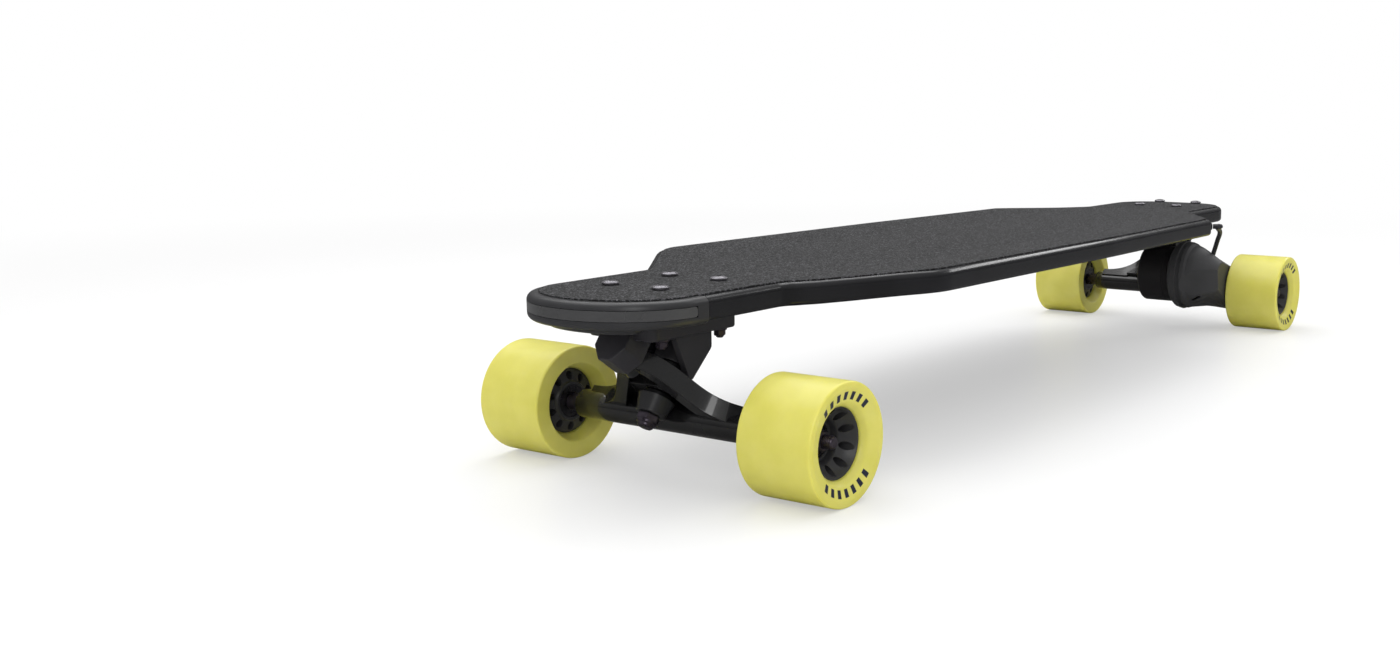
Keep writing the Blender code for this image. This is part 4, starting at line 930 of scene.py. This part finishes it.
def yellow_urethane(name, centre, outward):
    """Cast polyurethane: slightly translucent, satin, with a pad-printed ring of plain bars."""
    made, tree, shader, place = base_material(name, "D4CF66", 0.34, ior=1.5)
    shader.inputs["Subsurface Weight"].default_value = 0.35
    shader.inputs["Subsurface Radius"].default_value = (1.0, 0.85, 0.10)
    shader.inputs["Subsurface Scale"].default_value = 0.006
    cast = vary(tree, shader, place, 18, "D3CD60", "D9D36A", 0.30, 0.40)
    grain(tree, shader, place, 1.2, 0.015)

    about = add_node(tree, "Mapping", {"Location": tuple(-c for c in centre)}, Vector=place)
    parts = add_node(tree, "SeparateXYZ", Vector=about)
    angle = add_node(tree, "Math", {"operation": "ARCTAN2"}, in0=parts.outputs["Z"],
                     in1=parts.outputs["X"])
    flat = add_node(tree, "CombineXYZ", X=parts.outputs["X"], Z=parts.outputs["Z"])
    radius = add_node(tree, "VectorMath", {"operation": "LENGTH"}, in0=flat).outputs["Value"]

    # Plain bars stand 14 degrees apart, in an arc over the hub and another under it. Each test
    # below gives 1 where a value lies within a distance of a middle one, and 0 elsewhere.
    count = add_node(tree, "Math", {"operation": "MULTIPLY", "1": 180 / 14 / math.pi}, in0=angle)
    share = add_node(tree, "Math", {"operation": "FRACT"}, in0=count)
    bar = add_node(tree, "Math", {"operation": "COMPARE", "1": 0.48, "2": 0.24}, in0=share)
    slant = add_node(tree, "Math", {"operation": "ABSOLUTE"}, in0=angle)
    arc = add_node(tree, "Math", {"operation": "COMPARE", "1": math.radians(91), "2": math.radians(49)},
                   in0=slant)
    ring = add_node(tree, "Math", {"operation": "COMPARE", "1": 0.0293, "2": 0.0025}, in0=radius)
    depth = add_node(tree, "Math", {"operation": "MULTIPLY", "1": outward}, in0=parts.outputs["Y"])
    outer = add_node(tree, "Math", {"operation": "GREATER_THAN", "1": 0.015}, in0=depth)
    ink = outer
    for part in (bar, arc, ring):
        ink = add_node(tree, "Math", {"operation": "MULTIPLY"}, in0=ink, in1=part)
    printed = add_node(tree, "Mix", {"data_type": "RGBA", "B": linear("20253C")}, Factor=ink, A=cast)
    tree.links.new(printed.outputs[2], shader.inputs["Base Color"])
    return made


core_nylon = moulded("glass_filled_nylon_core", "303032", "3B3B3D", 0.36, 0.5, 0.02)
bearing_steel = black_steel("ground_bearing_steel", "3A393C", "504F53", 0.28)

lip = 0.0335
tyre_face = [
    (0.0220, HALF_WHEEL - 0.0072), (0.0228, HALF_WHEEL - 0.0060), (0.0245, HALF_WHEEL - 0.0036),
    (0.0257, HALF_WHEEL - 0.0027), (0.0270, HALF_WHEEL - 0.0022), (lip - 0.0002, HALF_WHEEL - 0.0003),
    (lip + 0.0004, HALF_WHEEL), (0.0367, HALF_WHEEL), (0.0373, HALF_WHEEL - 0.0001),
    (0.0377, HALF_WHEEL - 0.0005), (0.0379, HALF_WHEEL - 0.0010), (0.0380, HALF_WHEEL - 0.0017),
]
tyre_back = [
    (0.0380, -HALF_WHEEL + 0.0017), (0.0378, -HALF_WHEEL + 0.0008), (0.0373, -HALF_WHEEL + 0.0002),
    (0.0367, -HALF_WHEEL), (0.0272, -HALF_WHEEL), (0.0264, -HALF_WHEEL + 0.0004),
    (0.0258, -HALF_WHEEL + 0.0012), (0.0228, -HALF_WHEEL + 0.0082), (0.0220, -HALF_WHEEL + 0.0095),
]
tyre_blank = turned("tyre", tyre_face + tyre_back, 160, True)

hub_low, hub_high = -0.02035, 0.00455
core_face = [
    (0.0113, hub_high), (0.0122, hub_high), (0.0128, hub_high + 0.0006), (0.0131, 0.0072),
    (0.0134, 0.0090), (0.0141, 0.0102), (0.0152, 0.0112), (0.0166, 0.0124), (0.0182, 0.0142),
    (0.0196, 0.0164), (0.0206, 0.0184), (0.0211, 0.0192), (0.0217, 0.0194),
    (0.0217, -HALF_WHEEL + 0.0102), (0.0208, -HALF_WHEEL + 0.0096), (0.0196, -HALF_WHEEL + 0.0092),
    (0.0140, -HALF_WHEEL + 0.0078), (0.0134, hub_low + 0.0006), (0.0130, hub_low),
    (0.0113, hub_low),
]
core_blank = turned("core", core_face, 120, True)
WINDOWS = 10
for index in range(WINDOWS):
    bpy.ops.mesh.primitive_cylinder_add(vertices=32, radius=0.0024, depth=0.08)
    window = bpy.context.object
    angle = 2 * math.pi * (index + 0.5) / WINDOWS
    for vertex in window.data.vertices:
        # Each window is an oval, drawn out towards the rim.
        vertex.co.x *= 1.25
        vertex.co.y *= 1.05 + 50 * vertex.co.x
    placed(window, Matrix.Rotation(angle, 4, "Z") @ Matrix.Translation((0.0172, 0, 0)))
    boolean(core_blank, window, "DIFFERENCE")

bearing_rings = [
    (0.0042, hub_low + 0.0002), (0.0110, hub_low + 0.0002), (0.0110, 0.0036), (0.0107, 0.0039),
    (0.0098, 0.0039), (0.0095, 0.0034), (0.0066, 0.0034), (0.0063, 0.0039), (0.0042, 0.0039),
]
bearing_blank = turned("bearing", bearing_rings, 72, True)

for end in ENDS:
    for side, way in SIDES:
        name = f"{end}_{side}"
        centre = Vector(joints[f"wheel_{name}_spin"]["pos_m"])
        aim = Matrix.Translation(centre) @ (ON_Y if way == 1 else ON_Y.inverted())
        body = f"wheel_{name}"
        tyre = copy_of(tyre_blank, f"urethane_tyre_{name}", aim)
        finish = yellow_urethane(f"cast_yellow_urethane_{name}", centre, way)
        fit(tyre, finish, body, "tyre", f"tyre_{name}")
        core = copy_of(core_blank, f"wheel_core_{name}", aim)
        fit(core, core_nylon, body, "core", f"core_{name}")
        bearing = copy_of(bearing_blank, f"wheel_bearing_{name}", aim)
        fit(bearing, bearing_steel, body, "bearing", f"bearings_{name}")
for helper in (tyre_blank, core_blank, bearing_blank):
    bpy.data.objects.remove(helper, do_unlink=True)


# ---------------------------------------------------------------- motor
# The outrunner sits in an aluminium can, powder coated nearly black, with a rounded inboard end.
# Inside it are the rotor with its shaft and the small pulley, drawn here, and the wound stator's end,
# which this section does not draw.

axle_z = joints["wheel_rear_left_spin"]["pos_m"][2]
motor_place = Vector(joints["motor_spin"]["pos_m"])
motor_place.y = 0
motor_frame = Matrix.Translation(motor_place) @ ON_Y
drive_frame = Matrix.Translation((axle_x["rear"], 0, axle_z)) @ ON_Y
CAN_RADIUS, CAN_LENGTH = 0.0285, 0.0330

can_finish = moulded("purple_black_motor_coat", "1B191B", "211F21", 0.40, 0.5, 0.010)
can_profile = [(0.0185, 0.0040), (0.0060, 0.0040), (0.0060, 0.0004), (0.0068, 0.0000)]
can_profile += [(CAN_RADIUS - 0.0030 + 0.0030 * math.sin(math.pi / 2 * i / 6),
                 0.0030 - 0.0030 * math.cos(math.pi / 2 * i / 6)) for i in range(7)]
can_profile += [(CAN_RADIUS, 0.0268), (CAN_RADIUS - 0.0003, 0.0270), (CAN_RADIUS - 0.0003, 0.0275),
                (CAN_RADIUS, 0.0277), (CAN_RADIUS, CAN_LENGTH - 0.0004),
                (CAN_RADIUS - 0.0004, CAN_LENGTH), (0.0185, CAN_LENGTH)]
can = turned("motor_housing_can", can_profile, 128, True)
fit(placed(can, motor_frame), can_finish, "rear_hanger", "motor", "motor_can")

rotor_profile = [(0.0030, 0.0050), (0.0040, 0.0056), (0.0040, 0.0065), (0.0176, 0.0065),
                 (0.0180, 0.0070), (0.0180, CAN_LENGTH - 0.0046), (0.0174, CAN_LENGTH - 0.0040),
                 (0.0040, CAN_LENGTH - 0.0040), (0.0040, 0.0625)]
teeth = [(0.0077, 0.0625), (0.0077, 0.0632), (0.0054, 0.0634), (0.0054, 0.0730),
         (0.0077, 0.0732), (0.0077, 0.0740), (0.0030, 0.0740)]
rotor = turned("motor_rotor_and_shaft", rotor_profile + teeth, 72)
fit(placed(rotor, motor_frame), bearing_steel, "motor_shaft", "rotor", "motor_rotor")


# ---------------------------------------------------------------- motor mount and belt drive
# A machined aluminium plate carries the motor and clamps the axle tube. Its natural face shows
# the cutter's turning rings. A toothed rubber belt drives the wheel pulley inside the cover.

def machined_alloy():
    """Bare machined aluminium with turning rings of half a millimetre."""
    made, tree, shader, place = base_material("machined_aluminium_6061", "9A9A9D", 0.32, metallic=1.0)
    vary(tree, shader, place, 12, "939396", "A5A5A8", 0.26, 0.38)
    grain(tree, shader, place, 0.5, 0.006)
    return made


alloy = machined_alloy()
ARM_LEAN = math.atan2(motor_place.z - axle_z, motor_place.x - axle_x["rear"])
apart = math.hypot(motor_place.z - axle_z, motor_place.x - axle_x["rear"])
mount = turned("mount_plate", [(0.0050, 0.0333), (0.0278, 0.0333), (0.0285, 0.0340),
                               (0.0285, 0.0376), (0.0278, 0.0383), (0.0050, 0.0383)], 96, True)
placed(mount, motor_frame)
near, far = apart - CAN_RADIUS + 0.0040, apart - CAN_RADIUS + 0.0165
shape = [(far, 0.0343), (far, 0.0600), (0.0115, 0.0600), (0.0115, 0.0550), (near, 0.0550),
         (near, 0.0343)]
arm = blank("mount_arm", shape, -0.010, 0.010)
# The arm is drawn with X from the axle to the motor, and leans to their line.
lean = Matrix.Translation((axle_x["rear"], 0, axle_z)) @ Matrix.Rotation(-ARM_LEAN, 4, "Y")
eased_edges(placed(arm, lean), 0.0008)
clamp = turned("mount_clamp", [(0.0098, 0.0525), (0.0134, 0.0525), (0.0140, 0.0531),
                               (0.0140, 0.0594), (0.0134, 0.0600), (0.0098, 0.0600)], 72, True)
mount = joined("motor_mount_plate", [mount, arm, placed(clamp, drive_frame)])
fit(mount, alloy, "rear_hanger", "alloy", "motor_mount")

pulley = turned("wheel_pulley_and_sleeve",
                [(0.0105, 0.0624), (0.0168, 0.0624), (0.0173, 0.0629), (0.0173, 0.0634),
                 (0.0151, 0.0636), (0.0151, 0.0728), (0.0173, 0.0730), (0.0173, 0.0736),
                 (0.0168, 0.0740), (0.0132, 0.0740), (0.0132, 0.0888), (0.0105, 0.0888)], 96, True)
fit(placed(pulley, drive_frame), alloy, "wheel_rear_left", "alloy", "wheel_pulley")

belt_finish = moulded_rubber("neoprene_timing_belt", "161617", "202021", 0.55, 0.8)
belt = frame["nodes"]["drive_belt"]
dress(belt, belt_finish, 30)


# ---------------------------------------------------------------- belt cover
# A moulded nylon cover over the belt, from the motor to the wheel. It is a skin through rings of
# points, each the hull of a circle round the motor and one round the axle, stepped by a groove.

def hull_point(turn, big, small):
    """The point of a hull of two circles that lies furthest in one direction."""
    way = Vector((math.cos(turn), math.sin(turn)))
    to_motor = Vector((motor_place.x - axle_x["rear"], motor_place.z - axle_z))
    if small and way.dot(to_motor) + big < small:
        return way * small
    return to_motor + way * big


def skin(name, rings, sides):
    """A closed skin: a cylinder cut into rings, with each ring's points moved to its place."""
    last = len(rings) - 1
    bpy.ops.mesh.primitive_cylinder_add(vertices=sides, radius=1, depth=last)
    piece = bpy.context.object
    piece.name = piece.data.name = name
    cut_across(piece, [i - last / 2 for i in range(1, last)], 2)
    for vertex in piece.data.vertices:
        y, big, small = rings[round(vertex.co.z + last / 2)]
        point = hull_point(math.atan2(vertex.co.y, vertex.co.x), big, small)
        vertex.co = (axle_x["rear"] + point.x, y, axle_z + point.y)
    return recalculated(piece)


cover_rings = [
    (0.0338, 0.0298, 0), (0.0340, 0.0302, 0), (0.0374, 0.0333, 0), (0.0377, 0.0336, 0),
    (0.0424, 0.0348, 0), (0.0434, 0.0350, 0), (0.0440, 0.0348, 0), (0.0442, 0.0344, 0),
    (0.0443, 0.0333, 0), (0.0478, 0.0325, 0), (0.0479, 0.0337, 0), (0.0482, 0.0340, 0),
    (0.0512, 0.0330, 0), (0.0538, 0.0311, 0.0186), (0.0570, 0.0299, 0.0189),
    (0.0600, 0.0285, 0.0192), (0.0650, 0.0256, 0.0196), (0.0700, 0.0225, 0.0200),
    (0.0760, 0.0187, 0.0202), (0.0800, 0.0160, 0.0204), (0.0809, 0.0152, 0.0202),
    (0.0813, 0.0146, 0.0197), (0.0815, 0.0138, 0.0190),
]
cover_finish = moulded("matte_moulded_nylon_cover", "39393B", "414143", 0.52, 0.5, 0.02)
cover = skin("belt_cover_shell", cover_rings, 144)

# A flat facet faces forward and out, next to the wheel.
facet_at = motor_place + Vector((0.0225, 0.0640, -0.004))
facet_way = Vector((0.80, 0.585, -0.16))
sliced(cover, facet_at, facet_way.normalized())

# The cover is hollow, and the sleeve, the tube and the motor pass into it.
COVER_WALL = 0.0016
hollow = [(0.0300, 0.0286, 0)]
hollow += [(y, big - COVER_WALL, small - COVER_WALL if small else 0)
           for y, big, small in cover_rings if 0.0345 < y < 0.0795]
hollow += [(0.0799, 0.0142, 0.0186)]
inside = skin("cover_hollow", hollow, 96)
sliced(inside, facet_at - facet_way * COVER_WALL, facet_way.normalized())
boolean(cover, inside, "DIFFERENCE")
for name, radius, start, stop in (("sleeve_hole", 0.0142, 0.0500, 0.1000),
                                  ("tube_hole", 0.0136, 0.0200, 0.0590)):
    hole = turned(name, [(radius, start), (radius, stop)], 64)
    boolean(cover, placed(hole, drive_frame), "DIFFERENCE")

# The vent is an oval slot low on the flank.
bpy.ops.mesh.primitive_cylinder_add(vertices=40, radius=0.0020, depth=0.012)
vent = bpy.context.object
for vertex in vent.data.vertices:
    vertex.co.x += math.copysign(0.0030, vertex.co.x)
low_turn = math.radians(-52)
flank = Vector((math.cos(low_turn), 0, math.sin(low_turn)))
out = (flank + Vector((0, 0.45, 0))).normalized()
vent_place = motor_place + flank * 0.0272 + Vector((0, 0.0610, 0))
along = Vector((0.25, 0.85, 0.0))
along = (along - out * along.dot(out)).normalized()
vent_frame = Matrix((along, out.cross(along), out)).transposed().to_4x4()
placed(vent, Matrix.Translation(vent_place) @ vent_frame)
boolean(cover, vent, "DIFFERENCE")
fit(cover, cover_finish, "rear_hanger", "housing", "belt_cover", crease=14)


# ---------------------------------------------------------------- motor cable
# The motor's lead is a 4.8 mm silicone-jacketed cable. It leaves a moulded grommet in the deck's
# rear edge, loops down behind the deck and enters the top of the belt cover.

def jacket():
    """Silicone jacket over a loosely twisted core, which shows as faint slanting ridges."""
    made, tree, shader, place = base_material("grey_silicone_cable_jacket", "2C2C30", 0.42, ior=1.42)
    vary(tree, shader, place, 9, "29292D", "323236", 0.36, 0.48)
    grain(tree, shader, place, 1.4, 0.02)
    return made


neck = Vector((NOTCH_X, HALF_NARROW, UNDERSIDE + 0.0078))
flare = Vector((FLARE_LENGTH, HALF_FLARE - HALF_NARROW, 0))
edge_run = flare.normalized()
edge_out = Vector((-edge_run.y, edge_run.x, 0))
cable_root = neck + flare * 0.70
grommet = turned("cable_grommet", [(0.0042, -0.0050), (0.0042, 0.0012), (0.0036, 0.0026),
                                   (0.0038, 0.0034), (0.0033, 0.0046), (0.0034, 0.0052),
                                   (0.0030, 0.0060)], 40)
outwards = edge_out.to_track_quat("Z", "Y").to_matrix().to_4x4()
fit(placed(grommet, Matrix.Translation(cable_root) @ outwards), rubber, "board", "cable")

cable_start = cable_root + edge_out * 0.0069
behind = Vector((axle_x["rear"], 0, 0))
cable_end = behind + Vector((0.036, 0.068, 0.0782))
route = [cable_start, cable_start + edge_out * 0.007,
         behind + Vector((0.108, 0.0985, 0.1135)), behind + Vector((0.064, 0.0850, 0.1040)),
         behind + Vector((0.041, 0.0740, 0.0930)), cable_end]


def through(points, per_span):
    """A smooth curve through the points, read off at even steps."""
    ends = [points[0] * 2 - points[1], *points, points[-1] * 2 - points[-2]]
    path = []
    for a, b, c, d in zip(ends, ends[1:], ends[2:], ends[3:]):
        for t in (i / per_span for i in range(per_span)):
            path.append(0.5 * (2 * b + (c - a) * t + (2 * a - 5 * b + 4 * c - d) * t**2
                               + (3 * b - a - 3 * c + d) * t**3))
    return path + [points[-1]]


bpy.ops.curve.primitive_bezier_curve_add()
cable = bpy.context.object
cable.data.splines.clear()
spline = cable.data.splines.new("POLY")
knots = through(route, 14)
spline.points.add(len(knots) - 1)
for knot, point in zip(spline.points, knots):
    knot.co = (*point, 1)
cable.data.bevel_depth = 0.00238
cable.data.bevel_resolution = 6
cable.data.use_fill_caps = True
cable.name = "motor_cable_jacket"
bpy.ops.object.convert(target="MESH")
dress(cable, jacket(), 60)
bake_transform(cable)
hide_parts("motor_cable")


# ---------------------------------------------------------------- battery bay
# Under the deck a shallow moulded lid closes the bay. It holds the shrink-wrapped battery and the
# finned motor controller, and carries the power button and the capped charging port.

lid_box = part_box("bottom_cover")
lid_low, lid_high = lid_box[0].z, lid_box[1].z


def lid_outline(margin):
    """The lid's rounded outline, moved in by a margin."""
    low, high = lid_box
    corners = [(0.0, low.y + margin, 0), (high.x - margin, low.y + margin, 0.016),
               (high.x - margin, high.y - margin, 0.016), (low.x + margin, high.y - margin, 0.016),
               (low.x + margin, low.y + margin, 0.016), (0.0, low.y + margin, 0)]
    return arcs(corners, math.radians(8))[:-1]


WALL_LEAN = 0.011
centre_x = centre_of("bottom_cover").x
lid = blank("battery_bay_lid", lid_outline(0), lid_low, lid_high)
for vertex in lid.data.vertices:
    if vertex.co.z < lid_low + 1e-5:
        # The wall leans in by 11 mm down to the flat underside.
        vertex.co.x += math.copysign(WALL_LEAN, centre_x - vertex.co.x)
        vertex.co.y -= math.copysign(WALL_LEAN, vertex.co.y)
round_edges(lid, lambda a, b: max(a.z, b.z) < lid_low + 1e-5, 0.0018, 4)
hollow = blank("lid_hollow", lid_outline(0.0145), lid_low + 0.0018, lid_high + 0.002)
boolean(lid, hollow, "DIFFERENCE")


def upright_at(node):
    """A frame on a CAD node's vertical axis, with its heights measured from the floor."""
    spot = centre_of(node)
    return Matrix.Translation((spot.x, spot.y, 0))


for node, radius in (("power_button", 0.0068), ("charge_port", 0.0073)):
    hole = turned("lid_hole", [(radius, lid_low - 0.002), (radius, lid_low + 0.004)], 64)
    boolean(lid, placed(hole, upright_at(node)), "DIFFERENCE")
# Eight screws hold the lid, in shallow round recesses. The recesses are cut here; the screws are not
# drawn.
for index in range(8):
    x = lid_box[0].x + 0.012 + (lid_box[1].x - lid_box[0].x - 0.024) * (index % 4) / 3
    y = (lid_box[1].y - 0.0155) * (1 if index < 4 else -1)
    recess = turned("screw_recess", [(0.0028, lid_low - 0.001), (0.0028, lid_low + 0.0009)], 32)
    boolean(lid, placed(recess, Matrix.Translation((x, y, 0))), "DIFFERENCE")
eased_edges(lid, 0.0003, 2, 40)
fit(lid, shell, "board", "shell", "bottom_cover")


def shrink_wrap():
    """Blue PVC heat-shrink: glossy film, slightly puckered."""
    made, tree, shader, place = base_material("blue_pvc_shrink_wrap", "24456E", 0.28, ior=1.53)
    vary(tree, shader, place, 30, "21406A", "294C77", 0.22, 0.36)
    grain(tree, shader, place, 6.0, 0.15)
    return made


def boxed(name, node, margin, cuts, depth, edge_radius):
    """A blank the size of a CAD node, with shallow grooves cut across its top."""
    low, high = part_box(node)
    outline = [(low.x, low.y), (high.x, low.y), (high.x, high.y), (low.x, high.y)]
    made = blank(name, outline, low.z, high.z)
    for index in range(1, cuts):
        x = low.x + (high.x - low.x) * index / cuts
        groove_line = [(x - margin, low.y - 1), (x + margin, low.y - 1), (x + margin, high.y + 1),
                       (x - margin, high.y + 1)]
        groove = blank("groove", groove_line, high.z - depth, high.z + 0.01)
        boolean(made, groove, "DIFFERENCE")
    return eased_edges(made, edge_radius, 3)


battery = boxed("battery_shrink_pack", "battery_pack", 0.0006, 5, 0.0010, 0.0005)
fit(battery, shrink_wrap(), "board", "battery", "battery_pack")
controller = boxed("motor_controller_heatsink", "controller", 0.0021, 9, 0.0038, 0.0004)
black_alloy = moulded("black_anodised_extrusion", "1E1E20", "27272A", 0.36, 0.5, 0.01)
fit(controller, black_alloy, "board", "controller", "controller")

# The button is a satin cap with a shallow dished face, and moves straight in.
low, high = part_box("power_button")
face = low.z
rim = [(0.0063, high.z - 0.0012), (0.0079, high.z - 0.0012), (0.0079, high.z)]
button = turned("power_button_cap",
                [(0.0010, face + 0.0005), (0.0040, face + 0.0003), (0.0054, face + 0.0001),
                 (0.0059, face), (0.0063, face + 0.0003), *rim], 72)
button_finish = moulded("satin_grey_abs_button", "B4B4B7", "BEBEC1", 0.34, 0.4, 0.008)
fit(placed(button, upright_at("power_button")), button_finish, "power_button", "button", "power_button")

# The port's cap is soft rubber; its pull rib across it is not drawn.
low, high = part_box("charge_port")
port = turned("charge_port_cap",
              [(0.0020, low.z + 0.0002), (0.0072, low.z), (0.0082, low.z + 0.0002),
               (0.0085, low.z + 0.0006), (0.0085, low.z + 0.0009), (0.0070, low.z + 0.0009),
               (0.0070, high.z - 0.0004), (0.0066, high.z)], 72)
fit(placed(port, upright_at("charge_port")), rubber, "board", "port", "charge_port")
